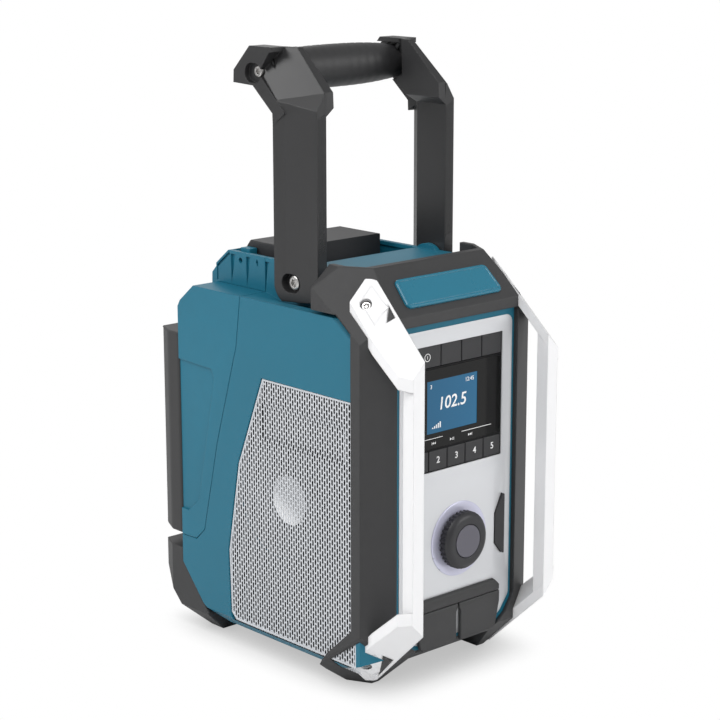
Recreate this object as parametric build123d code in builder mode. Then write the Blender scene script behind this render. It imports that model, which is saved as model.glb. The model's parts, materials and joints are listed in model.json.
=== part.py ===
"""Cordless jobsite radio: two side speakers, front controls, folding handle, rear battery door.

Millimetres. Origin at the bottom centre of the box that holds the whole radio, +Z up, the control
panel faces -Y and +X is to the right when it is seen from the front.
"""
from build123d import *
from math import cos, radians, sin
import os

os.makedirs("parts", exist_ok=True)

# ---------------------------------------------------------------- driving dimensions
# clearances
slip = 0.3            # gap around parts that slide or swing
run = 0.06            # radial clearance of a shaft in its bush
seam_gap = 0.5        # gap along the rear door's seam

# housing
side_x = 80.0         # outer face of the housing's sides
wall = 3.0            # moulded wall
front_y = -104.0      # housing front face, the strip around the control panel
back_y = 106.0        # back face of the door
base_z = 11.0         # underside
shelf_z = 265.0       # shelves beside the handle's legs
crown_z = 290.0       # raised centre of the top
crown_x = 56.2        # half-width of the raised centre
crown_wall = 4.0      # its ribbed side walls
bevel_x = 56.5        # where the front corners start to turn back
bevel_back = 11.8     # how far back they reach at the sides
base_chamfer = 9.0    # lower long edges
pit_front_y = -10.0   # finger pit in front of the latch
pit_z = 272.0

# bumper frame round the front
rubber = 3.0          # how far the frame's front stands off the housing
frame_proud = 2.0     # and its sides
frame_top_z = 297.0
frame_slope_y = -77.0     # top edge of the front slope
foot_toe_y = -78.8        # floor edge of the front feet
frame_back_y = -85.3      # back edge of the side strips
ear_back_y = -45.5        # back of the upper ears and the front feet
ear_z = 268.0             # underside of the ears
ear_slope = (17.0, 14.0)  # width and height of the slopes on the ears' outer edges
opening_x = 58.6          # half-width of the frame's front opening
opening_top_z = 259.7
foot_gap_x = 50.0         # half-width between the front feet at the floor
foot_gap_z = 20.0

# control panel and what it holds
panel_x = 54.7
panel_top_z = 254.9
panel_low_z = 47.4
panel_y = -105.5          # its outer rim
pad_y = -107.5            # raised pad around the knob
pad_x = 35.0
fascia_x = 45.0
fascia_low_z = 153.5
fascia_top_z = 244.8
fascia_y = -104.5
key_row_z = 228.2         # lower edge of the upper key row
preset_row_z = 169.6      # upper edge of the preset row
key_travel = 1.0
key_gap = 0.35
key_depth = 5.0
lcd_size = (48.8, 37.2)
lcd_centre = (-4.4, 200.2)
knob_z = 101.9
knob_d = 41.5
knob_front_y = -117.2
ring_d = 54.0
knob_push = 0.5
shaft_d = 6.0
ports_top_z = 63.2
ports_low_z = 25.8
flap_hinge_z = 54.0
flap_y = -108.5
flap_bead_r = 1.0     # round upper edge on which each flap turns

# grilles and speakers
grille_top_z = 209.5
grille_low_z = 19.6
grille_set = 2.0          # how far the grille lies inside the side face
sheet = 1.0
speaker_y = -4.0
speaker_z = 120.0
speaker_d = 89.0

# rear door, latch, battery bay
hinge_y = 128.0
hinge_z = 66.6
hinge_pin_d = 4.0
bay_x = 39.5
bay_low_z = 78.0
bay_top_z = 254.0
bay_front_y = 14.0
bay_back_y = 90.0
latch_x = 44.0
latch_front_y = 20.5
latch_top_z = 297.4
latch_pin_y = 61.0
latch_pin_z = 284.0
latch_pin_d = 4.0

# bumpers
bumper_back_y = 134.0
bumper_in_x = 52.0
bumper_gap_z = (60.3, 71.5)
bumper_top_z = 227.0

# guards in front of the panel
guard_x = (60.0, 70.0)
guard_front_y = -134.0
guard_depth = 10.0
guard_knee_z = (52.0, 238.0)
guard_tip_z = 291.0
boss_r = 6.0          # bosses of the guards, let into the frame at their screws
boss_depth = 8.0
boss_gap = 0.2
boss_floor = 2.5      # plastic left under a screw's head
strap_t = 5.5         # the guards' straps
pocket_depth = 4.2    # pocket round each guard screw
guard_screw_d = 3.4
screw_head = (3.6, 2.6)   # radius and height of the guards' screw heads
screw_reach = 5.0     # how far the screws go in beyond the bosses

# handle
pivot_y = -7.5
pivot_z = 278.4
pivot_d = 8.0
heel_r = 16.4         # round lower end of the legs, about the pivot
leg_in_x = 56.9
leg_out_x = 65.3      # outer face at the front edge, from which it leans out towards the back
leg_front_y = -34.0
leg_back_y = 8.4
head_z = 401.0        # level where the heads start to reach back
top_z = 440.2
grip_y = 25.5
grip_z = 422.9
grip_r = 15.4
grip_half = 61.8
recess_floor = 3.5    # floor of the pivot's recess, inside the legs' front edge

# ---------------------------------------------------------------- shared outlines
slope_line = frame_top_z - frame_slope_y            # z - y on the frame's front slope
foot_line = foot_toe_y                              # y + z on the lower slope
frame_front_y = front_y - rubber

# (y, z) points of the housing's side outline, door included
body_side = [
    (front_y, 27.0), (front_y, slope_line + front_y - 7.0), (shelf_z - slope_line + 7.0, shelf_z),
    (back_y - 19.0, shelf_z), (back_y - 3.0, shelf_z - 13.0), (back_y, shelf_z - 18.0),
    (back_y, 49.5), (82.0, 22.5), (62.0, base_z),
    (-62.0, base_z),
]

# (y, z) points of the door's seam, from the shelf down to the back
seam = [(33.0, shelf_z), (38.0, 228.0), (61.5, 152.0), (78.5, 81.0), (88.5, 71.5), (back_y, 71.0)]


# (y, z) points down the back of the raised centre
crown_back = [(75.1, crown_z), (89.3, crown_z - 11.3), (89.4, crown_z - 13.9), (94.2, shelf_z + 6.2),
              (94.4, shelf_z)]


def save(part, name):
    """Label a finished piece and write its STEP file."""
    part.label = name
    export_step(part, f"parts/{name}.step")


def corner_plane(side, level, set_in):
    """Plane across a front corner, side +1 right and -1 left, level +1 top and -1 bottom."""
    if level > 0:
        a = Vector(side * 54.0, -75.7, frame_top_z)
        b = Vector(side * 65.0, -56.0, frame_top_z)
        c = Vector(side * 82.0, -96.0, 250.0)
    else:
        a = Vector(side * 56.4, foot_toe_y, 0.0)
        b = Vector(side * 65.5, -61.0, 0.0)
        c = Vector(side * 82.0, -96.0, 46.0)
    normal = (b - a).cross(c - a).normalized()
    if normal.X * side < 0:
        normal = -normal
    return Plane(origin=a - normal * set_in, z_dir=normal)


def bevel_plane(side, set_in):
    """Plane of the angled face between the front and one side."""
    run_x = side_x - bevel_x
    normal = Vector(side * bevel_back, -run_x, 0).normalized()
    return Plane(origin=Vector(side * bevel_x, front_y, 0) - normal * set_in, z_dir=normal)


def body_block(set_in):
    """The housing's outer form up to the shelves, with every face set in."""
    with BuildPart() as block:
        with BuildSketch(Plane.YZ):
            with BuildLine():
                Polyline(*body_side, close=True)
            make_face()
            if set_in:
                offset(amount=-set_in, kind=Kind.INTERSECTION)
        extrude(amount=side_x - set_in, both=True)
        low = block.edges().filter_by(Axis.Y).group_by(Axis.Z)[0]
        chamfer(low, length=base_chamfer)
        for side in (-1, 1):
            split(bisect_by=bevel_plane(side, set_in), keep=Keep.BOTTOM)
            split(bisect_by=corner_plane(side, 1, 5.0 + set_in), keep=Keep.BOTTOM)
    return block.part


def crown_block(set_in):
    """The raised centre of the top, from the frame's lip to the back slope."""
    with BuildPart() as block:
        with BuildSketch(Plane.YZ):
            with BuildLine():
                Polyline(
                    (front_y + 4, shelf_z - 20), (front_y + 4, slope_line + front_y + 4 - 7.0),
                    (crown_z - slope_line + 7.0, crown_z), *crown_back,
                    (crown_back[-1][0], shelf_z - 20), close=True)
            make_face()
            if set_in:
                offset(amount=-set_in, kind=Kind.INTERSECTION)
        extrude(amount=crown_x - set_in, both=True)
        for side in (-1, 1):
            split(bisect_by=corner_plane(side, 1, 5.0 + set_in), keep=Keep.BOTTOM)
    return block.part


def behind_seam(gap):
    """Everything behind the door's seam line, moved back by gap."""
    with BuildPart() as region:
        with BuildSketch(Plane.YZ):
            with BuildLine():
                line = [(y + gap, z + (gap if y > 80 else 0)) for y, z in seam]
                far_y = hinge_y + 30.0
                Polyline((line[0][0], top_z), *line, (far_y, line[-1][1]), (far_y, top_z), close=True)
            make_face()
        extrude(amount=side_x + 20, both=True)
    return region.part


outer_body = body_block(0)
inner_body = body_block(wall)
outer_crown = crown_block(0)
inner_crown = crown_block(wall)
door_region = behind_seam(0)
door_space = behind_seam(seam_gap)
bay_mid_z = (bay_low_z + bay_top_z) / 2
bay_high = bay_top_z - bay_low_z

# grille outline on the side, (y, z)
grille_outline = [
    (-88.0, grille_top_z), (10.7, grille_top_z), (38.5, 141.0), (51.0, 72.0), (49.2, 24.0),
    (44.0, grille_low_z), (-88.0, grille_low_z),
]

# ---------------------------------------------------------------- housing
with BuildPart() as main_housing:
    add(outer_body)
    add(outer_crown)
    add(inner_body, mode=Mode.SUBTRACT)
    add(inner_crown, mode=Mode.SUBTRACT)
    # deck along the seam, closing the space beside the battery bay
    with BuildSketch(Plane.YZ):
        with BuildLine():
            deck = [(y, z) for y, z in seam]
            Polyline(*deck, *[(y - wall, z - (wall if y > 80 else 0)) for y, z in reversed(deck)],
                     close=True)
        make_face()
    extrude(amount=side_x - wall / 2, both=True)
    # floor of the finger pit
    with Locations((0, (pit_front_y + seam[0][0]) / 2, pit_z - wall / 2)):
        Box(2 * crown_x - 2, seam[0][0] - pit_front_y + 2 * wall, wall)
    add(door_region, mode=Mode.SUBTRACT)
    # finger pit
    with Locations((0, (pit_front_y + seam[0][0]) / 2 + 1, pit_z + 20)):
        Box(2 * (crown_x - crown_wall), seam[0][0] - pit_front_y + 2, 40, mode=Mode.SUBTRACT)
    # battery bay's way out through the deck
    with Locations((0, (bay_front_y + back_y) / 2, bay_mid_z)):
        Box(2 * (bay_x + wall), back_y - bay_front_y, bay_high + 2 * wall, mode=Mode.SUBTRACT)
    # speaker openings behind the grilles, recessed so that the sheet lies inside the side face
    for side in (-1, 1):
        with BuildSketch(Plane.YZ.offset(side * side_x)):
            with BuildLine():
                Polyline(*grille_outline[:-2], (grille_outline[-2][0], base_z - 1),
                         (grille_outline[-1][0], base_z - 1), close=True)
            make_face()
        extrude(amount=-side * grille_set, mode=Mode.SUBTRACT)
        with Locations(Plane.YZ.offset(side * (side_x - wall))):
            with Locations((speaker_y, speaker_z)):
                Cylinder(speaker_d / 2 - 4, 4 * wall, mode=Mode.SUBTRACT)
    # windows behind the control panel
    with Locations((0, front_y, (fascia_low_z + fascia_top_z) / 2)):
        Box(2 * fascia_x + 0.4, 4 * wall, fascia_top_z - fascia_low_z + 0.4, mode=Mode.SUBTRACT)
    with Locations((0, front_y, knob_z)):
        Cylinder(8, 4 * wall, rotation=(90, 0, 0), mode=Mode.SUBTRACT)
    with Locations((0, front_y, (flap_hinge_z + ports_low_z) / 2 - 1)):
        Box(72, 4 * wall, 16, mode=Mode.SUBTRACT)
    with Locations((-41, front_y, 103.2), (41, front_y, 103.2)):
        Box(11.6, 4 * wall, 47, mode=Mode.SUBTRACT)
    # lugs that hold the door's hinge pin
    for side in (-1, 1):
        with BuildSketch(Plane.YZ.offset(side * 28.8)):
            with Locations((hinge_y, hinge_z)):
                Circle(hinge_pin_d / 2 + 2.2)
            with BuildLine():
                Polyline((back_y - wall, 52.0), (back_y - wall, 70.0), (hinge_y, hinge_z + 4.0),
                         (hinge_y + 2, hinge_z - 3.5), (hinge_y - 2, hinge_z - 4.0), (back_y, 52.0),
                         close=True)
            make_face()
        extrude(amount=side * 9.2)
        with Locations((side * 34, hinge_y, hinge_z)):
            Cylinder(hinge_pin_d / 2, 20, rotation=(0, 90, 0), mode=Mode.SUBTRACT)
    for side in (-1, 1):
        # round cheek beside each leg, and the handle's pivot seat
        with Locations((side * (crown_x - crown_wall / 2), pivot_y - 12.5, pivot_z + 0.6)):
            Cylinder(15.0, crown_wall, rotation=(0, 90, 0))
        with Locations((side * (crown_x - 3), pivot_y, pivot_z)):
            Cylinder(pivot_d / 2 + 0.05, 14, rotation=(0, 90, 0), mode=Mode.SUBTRACT)
        # dip in the shelf under each leg, with a thicker floor under it
        with Locations((side * (crown_x + 7.3), leg_front_y / 2 + 13, shelf_z - 5)):
            Box(20.6, 68, 4)
        with BuildSketch(Plane.YZ.offset(side * crown_x)):
            with BuildLine():
                dip_z = shelf_z - 3.8
                dip_back_y = seam[0][0] - 2.0
                Polyline((leg_front_y - 3, shelf_z + 3), (leg_front_y - 3, dip_z), (16.0, dip_z),
                         (dip_back_y, shelf_z), (dip_back_y, shelf_z + 3), close=True)
            make_face()
        extrude(amount=side * 14.6, mode=Mode.SUBTRACT)
        # tapered slot in the crown's side wall, ending at the door's seam
        with BuildSketch(Plane.YZ.offset(side * (crown_x + 1))):
            with BuildLine():
                Polyline((seam[0][0] - 0.2, shelf_z + 1), (seam[0][0] + 1, shelf_z + 1),
                         (seam[0][0] + 1, crown_z - 3), (seam[0][0] - 4.8, crown_z - 3),
                         (seam[0][0] - 2.6, crown_z - 5), close=True)
            make_face()
        extrude(amount=-side * 2.6, mode=Mode.SUBTRACT)

# ---------------------------------------------------------------- battery bay
with BuildPart() as battery_bay:
    with Locations((0, (bay_front_y + bay_back_y) / 2, bay_mid_z)):
        Box(2 * (bay_x + wall) - 0.4, bay_back_y - bay_front_y, bay_high + 2 * wall - 0.4)
    with Locations((0, (bay_front_y + wall + bay_back_y) / 2 + 1, bay_mid_z)):
        Box(2 * bay_x, bay_back_y - bay_front_y - wall + 2, bay_high, mode=Mode.SUBTRACT)
save(battery_bay.part, "battery_bay")

with BuildPart() as battery_terminal:
    with Locations((0, bay_front_y + wall + 4, bay_mid_z + 30)):
        Box(44, 8, 34)
    with BuildSketch(Plane.XZ.offset(-(bay_front_y + wall + 8))):
        with Locations((0, bay_mid_z + 30)):
            with GridLocations(9, 1, 4, 1):
                Rectangle(1.2, 22)
    extrude(amount=-7)
save(battery_terminal.part, "battery_terminal")

# ---------------------------------------------------------------- rear door
with BuildPart() as rear_door:
    add(outer_body)
    add(inner_body, mode=Mode.SUBTRACT)
    add(door_space, mode=Mode.INTERSECT)
    # opening in the shelf under the crown
    with Locations((0, (seam[0][0] + back_y - 19.0) / 2 + 1, shelf_z)):
        Box(2 * (crown_x - 6), back_y - 19.0 - seam[0][0] - 10, 3 * wall, mode=Mode.SUBTRACT)
    # hinge knuckle along the lower edge, between the bumpers
    with BuildSketch(Plane.YZ):
        with Locations((hinge_y, hinge_z)):
            Circle(hinge_pin_d / 2 + 2.4)
        with BuildLine():
            Polyline((back_y - wall, 71.8), (back_y - wall, 76.0), (hinge_y - 1, hinge_z + 4.3),
                     (hinge_y - 3.5, hinge_z + 2.0), (back_y, 71.8), close=True)
        make_face()
    extrude(amount=28, both=True)
    with Locations((0, hinge_y, hinge_z)):
        Cylinder(hinge_pin_d / 2 + run, 80, rotation=(0, 90, 0), mode=Mode.SUBTRACT)
    # finger pockets in both sides, beside the upper bumpers
    for side in (-1, 1):
        with BuildSketch(Plane.YZ.offset(side * side_x)):
            with BuildLine():
                Polyline((back_y + 2, 207.5), (67.5, 206.0), (64.5, 200.0), (84.5, 103.5),
                         (97.5, 92.0), (back_y + 2, 92.0), close=True)
            make_face()
        extrude(amount=-side * 1.5, mode=Mode.SUBTRACT)
save(rear_door.part, "rear_door")

# (y, z) outlines of the slots in the crown's side walls
slot_top = crown_z - 2.4
wall_slots = [
    [(71.5, shelf_z + 1.5), (72.0, slot_top), (67.0, slot_top)],
    [(54.0, shelf_z + 1.0), (54.6, slot_top), (49.9, slot_top)],
    [(42.4, slot_top), (43.6, crown_z - 5.4), (41.7, crown_z - 8.0), (41.0, crown_z - 5.0)],
    [(87.0, shelf_z + 1.5), (87.0, crown_z - 13.8), (73.0, crown_z - 2.7), (74.1, crown_z - 1.3),
     (88.3, crown_z - 12.6), (88.3, shelf_z + 1.5)],
]

with BuildPart() as door_crown:
    add(outer_crown)
    add(inner_crown, mode=Mode.SUBTRACT)
    add(door_space, mode=Mode.INTERSECT)
    # the latch lies in a step across the crown, between the two ribbed walls
    with Locations((0, 53.5, latch_pin_z + 11.5)):
        Box(2 * (crown_x - crown_wall), 42, 40, mode=Mode.SUBTRACT)
    with Locations((0, 54.2, latch_pin_z - 8.5 - wall / 2)):
        Box(2 * crown_x - 2, 40.4, wall)
    with Locations((0, 75.2, latch_pin_z - 2)):
        Box(2 * crown_x - 2, wall, 14)
    add(outer_body, mode=Mode.SUBTRACT)
    # ears for the latch's pin
    for side in (-1, 1):
        with Locations((side * (latch_x + 4.2), latch_pin_y, latch_pin_z)):
            Box(7.2, 10, 17)
        with Locations((side * (latch_x + 4.2), latch_pin_y, latch_pin_z)):
            Cylinder(latch_pin_d / 2, 30, rotation=(0, 90, 0), mode=Mode.SUBTRACT)
        # slots between the ribs of the side walls
        with BuildSketch(Plane.YZ.offset(side * (crown_x + 1))):
            for outline in wall_slots:
                with BuildLine():
                    Polyline(*outline, close=True)
                make_face()
        extrude(amount=-side * 2.6, mode=Mode.SUBTRACT)
save(door_crown.part, "door_crown")

with BuildPart() as hinge_pin:
    with Locations((0, hinge_y, hinge_z)):
        Cylinder(hinge_pin_d / 2, 2 * 38, rotation=(0, 90, 0))
save(hinge_pin.part, "door_hinge_pin")

with BuildPart() as latch:
    with BuildSketch(Plane.YZ):
        with BuildLine():
            Polyline((latch_front_y, latch_pin_z - 8.0), (latch_pin_y, latch_pin_z - 8.0),
                     (latch_pin_y + 8.0, latch_pin_z), (latch_pin_y + 8.0, latch_top_z - 6.0),
                     (latch_pin_y + 3.0, latch_top_z), (latch_front_y, latch_top_z), close=True)
        make_face()
    extrude(amount=latch_x, both=True)
    low_edges = latch.edges().filter_by(Axis.X).group_by(Axis.Z)[0].sort_by(Axis.Y)
    fillet(low_edges[-1:], radius=5.0)
    fillet(latch.faces().sort_by(Axis.Z)[-1].edges().filter_by(Axis.Y), radius=1.0)
    with Locations((0, latch_pin_y, latch_pin_z)):
        Cylinder(latch_pin_d / 2 + run, 2 * latch_x + 2, rotation=(0, 90, 0), mode=Mode.SUBTRACT)
save(latch.part, "door_latch")

with BuildPart() as latch_pin:
    with Locations((0, latch_pin_y, latch_pin_z)):
        Cylinder(latch_pin_d / 2, 2 * (latch_x + 7), rotation=(0, 90, 0))
save(latch_pin.part, "latch_pin")

# ---------------------------------------------------------------- bumpers at the rear corners
for side, tag in ((-1, "left"), (1, "right")):
    with BuildPart() as bumper:
        with BuildSketch(Plane.XY.offset(bumper_gap_z[1])):
            with BuildLine():
                Polyline((side * bumper_in_x, back_y), (side * side_x, back_y),
                         (side * side_x, back_y + 13), (side * (side_x - 7), bumper_back_y),
                         (side * bumper_in_x, bumper_back_y), close=True)
            make_face()
        extrude(amount=bumper_top_z - bumper_gap_z[1])
        fillet(bumper.faces().sort_by(Axis.Z)[-1].edges(), radius=1.2)
    save(bumper.part, f"bumper_upper_{tag}")

    with BuildPart() as bumper:
        with BuildSketch(Plane.YZ.offset(side * bumper_in_x)):
            with BuildLine():
                Polyline((back_y, bumper_gap_z[0]), (bumper_back_y, bumper_gap_z[0]),
                         (bumper_back_y, 39.0), (108.0, 13.0), (90.0, 0.0), (76.0, 0.0),
                         (76.0, base_z + 5.0), (82.0, 22.5), (back_y, 49.5), close=True)
            make_face()
        extrude(amount=side * (side_x - bumper_in_x))
        # the outer edge turns in like the upper bumper's
        with BuildSketch(Plane.XY):
            with BuildLine():
                Polyline((side * (side_x + 1), back_y + 11.1), (side * (side_x - 7), bumper_back_y),
                         (side * (side_x + 1), bumper_back_y + 1), close=True)
            make_face()
        extrude(amount=70, mode=Mode.SUBTRACT)
        with BuildSketch(Plane.XZ.offset(-60)):
            with BuildLine():
                Polyline((side * (side_x + 1), 15.5), (side * 66.0, 0.0),
                         (side * (side_x + 1), -1.0), close=True)
            make_face()
        extrude(amount=-90, mode=Mode.SUBTRACT)
        add(outer_body, mode=Mode.SUBTRACT)
    save(bumper.part, f"bumper_lower_{tag}")

# ---------------------------------------------------------------- bumper frame round the front
def frame_envelope():
    """Everything inside the frame's outer faces."""
    with BuildPart() as block:
        with BuildSketch(Plane.YZ):
            with BuildLine():
                Polyline((frame_front_y, foot_line - frame_front_y), (foot_toe_y, 0), (back_y, 0),
                         (back_y, frame_top_z), (frame_slope_y, frame_top_z),
                         (frame_front_y, slope_line + frame_front_y), close=True)
            make_face()
        extrude(amount=side_x + frame_proud, both=True)
        for side in (-1, 1):
            split(bisect_by=bevel_plane(side, -rubber), keep=Keep.BOTTOM)
            split(bisect_by=corner_plane(side, 1, 0), keep=Keep.BOTTOM)
            split(bisect_by=corner_plane(side, -1, 0), keep=Keep.BOTTOM)
            with BuildSketch(Plane.XZ.offset(-60)):
                with BuildLine():
                    Polyline((side * (side_x + frame_proud + 1), frame_top_z - ear_slope[1] - 0.8),
                             (side * (side_x + frame_proud - ear_slope[0]), frame_top_z),
                             (side * (side_x + frame_proud + 1), frame_top_z + 1), close=True)
                make_face()
                with BuildLine():
                    Polyline((side * (side_x + frame_proud + 1), ear_slope[1] + 0.8),
                             (side * (side_x + frame_proud - ear_slope[0]), 0),
                             (side * (side_x + frame_proud + 1), -1), close=True)
                make_face()
            extrude(amount=200, mode=Mode.SUBTRACT)
    return block.part


envelope = frame_envelope()
middle_z = (guard_knee_z[0] + guard_knee_z[1]) / 2 + 2.3


def guard_screw_plane(side, level, depth):
    """Plane across a guard's screw, a depth under the guard's face."""
    normal = Vector(side * 0.611, -0.524, level * 0.5945)
    centre = Vector(side * 69.0, frame_slope_y - 9.5, middle_z + level * (guard_tip_z - 14.9 - middle_z))
    return Plane(origin=centre - normal * depth, z_dir=normal)


def guard_pocket(side, level):
    """Four-sided pocket in a guard's face, beside its screw."""
    face = guard_screw_plane(side, level, 0)
    corners = [(60.3, -5.4, -2.4), (59.8, -22.2, -16.6), (71.9, -21.2, -28.1), (71.3, -5.3, -13.5)]
    low = [(64.2, -10.6, -17.4), (64.4, -11.2, -18.0), (63.8, -11.0, -18.2), (63.6, -10.4, -17.6)]
    with BuildPart() as pocket:
        for points, depth in ((corners, 0), (low, pocket_depth)):
            with BuildSketch(face.offset(-depth)):
                with BuildLine():
                    local = [face.to_local_coords(Vector(side * x, frame_slope_y + y,
                                                         middle_z + level * (guard_tip_z + z - middle_z)))
                             for x, y, z in points]
                    Polyline(*[(v.X, v.Y) for v in local], close=True)
                make_face()
        loft()
    return pocket.part


def screw_column(radius, top, bottom):
    """Cylinders at the four guard screws, from top to bottom under the guards' faces."""
    with BuildPart() as columns:
        for side in (-1, 1):
            for level in (-1, 1):
                with BuildSketch(guard_screw_plane(side, level, bottom)):
                    Circle(radius)
                extrude(amount=bottom - top)
    return columns.part


boss_holes = screw_column(boss_r + boss_gap, -2, boss_depth + boss_gap)
screw_holes = screw_column(guard_screw_d / 2 + run, 0, boss_depth + screw_reach + 1)

with BuildPart() as bumper_frame:
    with BuildSketch(Plane.YZ):
        with BuildLine():
            Polyline((frame_front_y - 1, -1), (frame_front_y - 1, frame_top_z + 1),
                     (ear_back_y, frame_top_z + 1), (ear_back_y, ear_z), (-70.0, ear_z),
                     (frame_back_y, 257.0), (frame_back_y, 47.0), (-61.0, 25.0),
                     (ear_back_y - 4.5, 12.0), (ear_back_y - 4.5, 7.0), (-60.5, 0.0),
                     (-60.5, -1.0), close=True)
        make_face()
    extrude(amount=side_x + frame_proud + 1, both=True)
    add(envelope, mode=Mode.INTERSECT)
    add(outer_body, mode=Mode.SUBTRACT)
    add(outer_crown, mode=Mode.SUBTRACT)
    # opening for the control panel
    with BuildSketch(Plane.XZ.offset(-frame_front_y + 1)):
        with BuildLine():
            Polyline((-opening_x, 47.0), (-opening_x, opening_top_z), (opening_x, opening_top_z),
                     (opening_x, 47.0), (50.0, 34.5), (40.0, 27.5), (38.0, 23.5), (-38.0, 23.5),
                     (-40.0, 27.5), (-50.0, 34.5), close=True)
        make_face()
    extrude(amount=-(front_y - frame_front_y) - 1.5, mode=Mode.SUBTRACT)
    # only a lip is left across the top, between the ears
    with BuildSketch(Plane.XY.offset(crown_z - 1)):
        with BuildLine():
            Polyline((-54.0, frame_slope_y + 6.5), (54.0, frame_slope_y + 6.5), (61.0, -58.0),
                     (61.0, -30.0), (-61.0, -30.0), (-61.0, -58.0), close=True)
        make_face()
    extrude(amount=20, mode=Mode.SUBTRACT)
    # gap between the two front feet
    with BuildSketch(Plane.XZ.offset(-frame_front_y + 2)):
        with BuildLine():
            Polyline((-foot_gap_x, -1), (-40.0, foot_gap_z), (40.0, foot_gap_z),
                     (foot_gap_x, -1), close=True)
        make_face()
    extrude(amount=-100, mode=Mode.SUBTRACT)
    add(boss_holes, mode=Mode.SUBTRACT)
    add(screw_holes, mode=Mode.SUBTRACT)
save(bumper_frame.part, "bumper_frame")

# ---------------------------------------------------------------- housing, holes for the guards
with main_housing:
    add(boss_holes, mode=Mode.SUBTRACT)
    add(screw_holes, mode=Mode.SUBTRACT)
save(main_housing.part, "main_housing")

# ---------------------------------------------------------------- guards
def guard_half(side):
    """Upper half of one guard: a bar, and the strap that runs back to the frame's corner."""
    face = Plane(origin=(side * 61.8, frame_slope_y - 1.0, guard_tip_z),
                 z_dir=(side * 0.611, -0.524, 0.5945))
    back = face.offset(-strap_t)
    with BuildPart() as half:
        with BuildSketch(Plane.XY.offset((middle_z + guard_tip_z) / 2)):
            with BuildLine():
                Polyline((side * 60.5, frame_slope_y - 1), (side * 75.4, frame_slope_y - 0.6),
                         (side * 77.2, frame_slope_y - 24.5), (side * 76.1, frame_slope_y - 48.4),
                         (side * (guard_x[1] + 0.6), guard_front_y), (side * guard_x[0], guard_front_y),
                         (side * 56.9, frame_slope_y - 7.6), close=True)
            make_face()
        extrude(amount=100)
        split(bisect_by=back, keep=Keep.TOP)
        with BuildSketch(Plane.XY.offset(middle_z)):
            with BuildLine():
                Polyline((side * guard_x[0], guard_front_y),
                         (side * guard_x[0], guard_front_y + guard_depth),
                         (side * guard_x[1], guard_front_y + guard_depth),
                         (side * guard_x[1], guard_front_y), close=True)
            make_face()
        extrude(amount=100)
        split(bisect_by=face, keep=Keep.BOTTOM)
        split(bisect_by=Plane.XY.offset(guard_tip_z), keep=Keep.BOTTOM)
    return half.part


for side, tag in ((-1, "left"), (1, "right")):
    upper = guard_half(side)
    with BuildPart() as guard:
        add(upper)
        mirror(about=Plane.XY.offset(middle_z))
        add(envelope, mode=Mode.SUBTRACT)
        add(outer_body, mode=Mode.SUBTRACT)
        for level in (-1, 1):
            with BuildSketch(guard_screw_plane(side, level, boss_depth)):
                Circle(boss_r)
            extrude(amount=boss_depth - 1.5)
            add(guard_pocket(side, level), mode=Mode.SUBTRACT)
            with BuildSketch(guard_screw_plane(side, level, boss_depth - boss_floor)):
                Circle(screw_head[0] + 0.6)
            extrude(amount=boss_depth + 2, mode=Mode.SUBTRACT)
            with BuildSketch(guard_screw_plane(side, level, boss_depth + 1)):
                Circle(guard_screw_d / 2 + run)
            extrude(amount=boss_depth + 2, mode=Mode.SUBTRACT)
    save(guard.part, f"guard_{tag}")

# ---------------------------------------------------------------- control panel
front_plane = Plane(origin=(0, 0, 0), x_dir=(1, 0, 0), z_dir=(0, -1, 0))
lip = 0.8             # how far the panel's opening covers the fascia's edge
pad_low_z = 69.0
pad_top_z = 146.0
pad_run = 12.0        # width of the pad's sloping sides
port_x = {"usb": -13.0, "dc": -30.0, "aux": 20.0}
port_z = 40.0
tune_key_points = [(36.0, 112.5), (44.6, 126.0), (46.0, 125.0), (46.0, 81.5), (44.6, 80.5),
                   (36.0, 90.0)]


def face_at(y):
    """Sketch plane parallel to the front, drawn as seen from the front."""
    return front_plane.offset(-y)


panel_outline = [(-panel_x, panel_low_z), (-panel_x, panel_top_z), (panel_x, panel_top_z),
                 (panel_x, panel_low_z), (46.5, 36.5), (38.0, 30.0), (-38.0, 30.0), (-46.5, 36.5)]
rim_run = 5.0         # width of the panel's sloping rim

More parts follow.
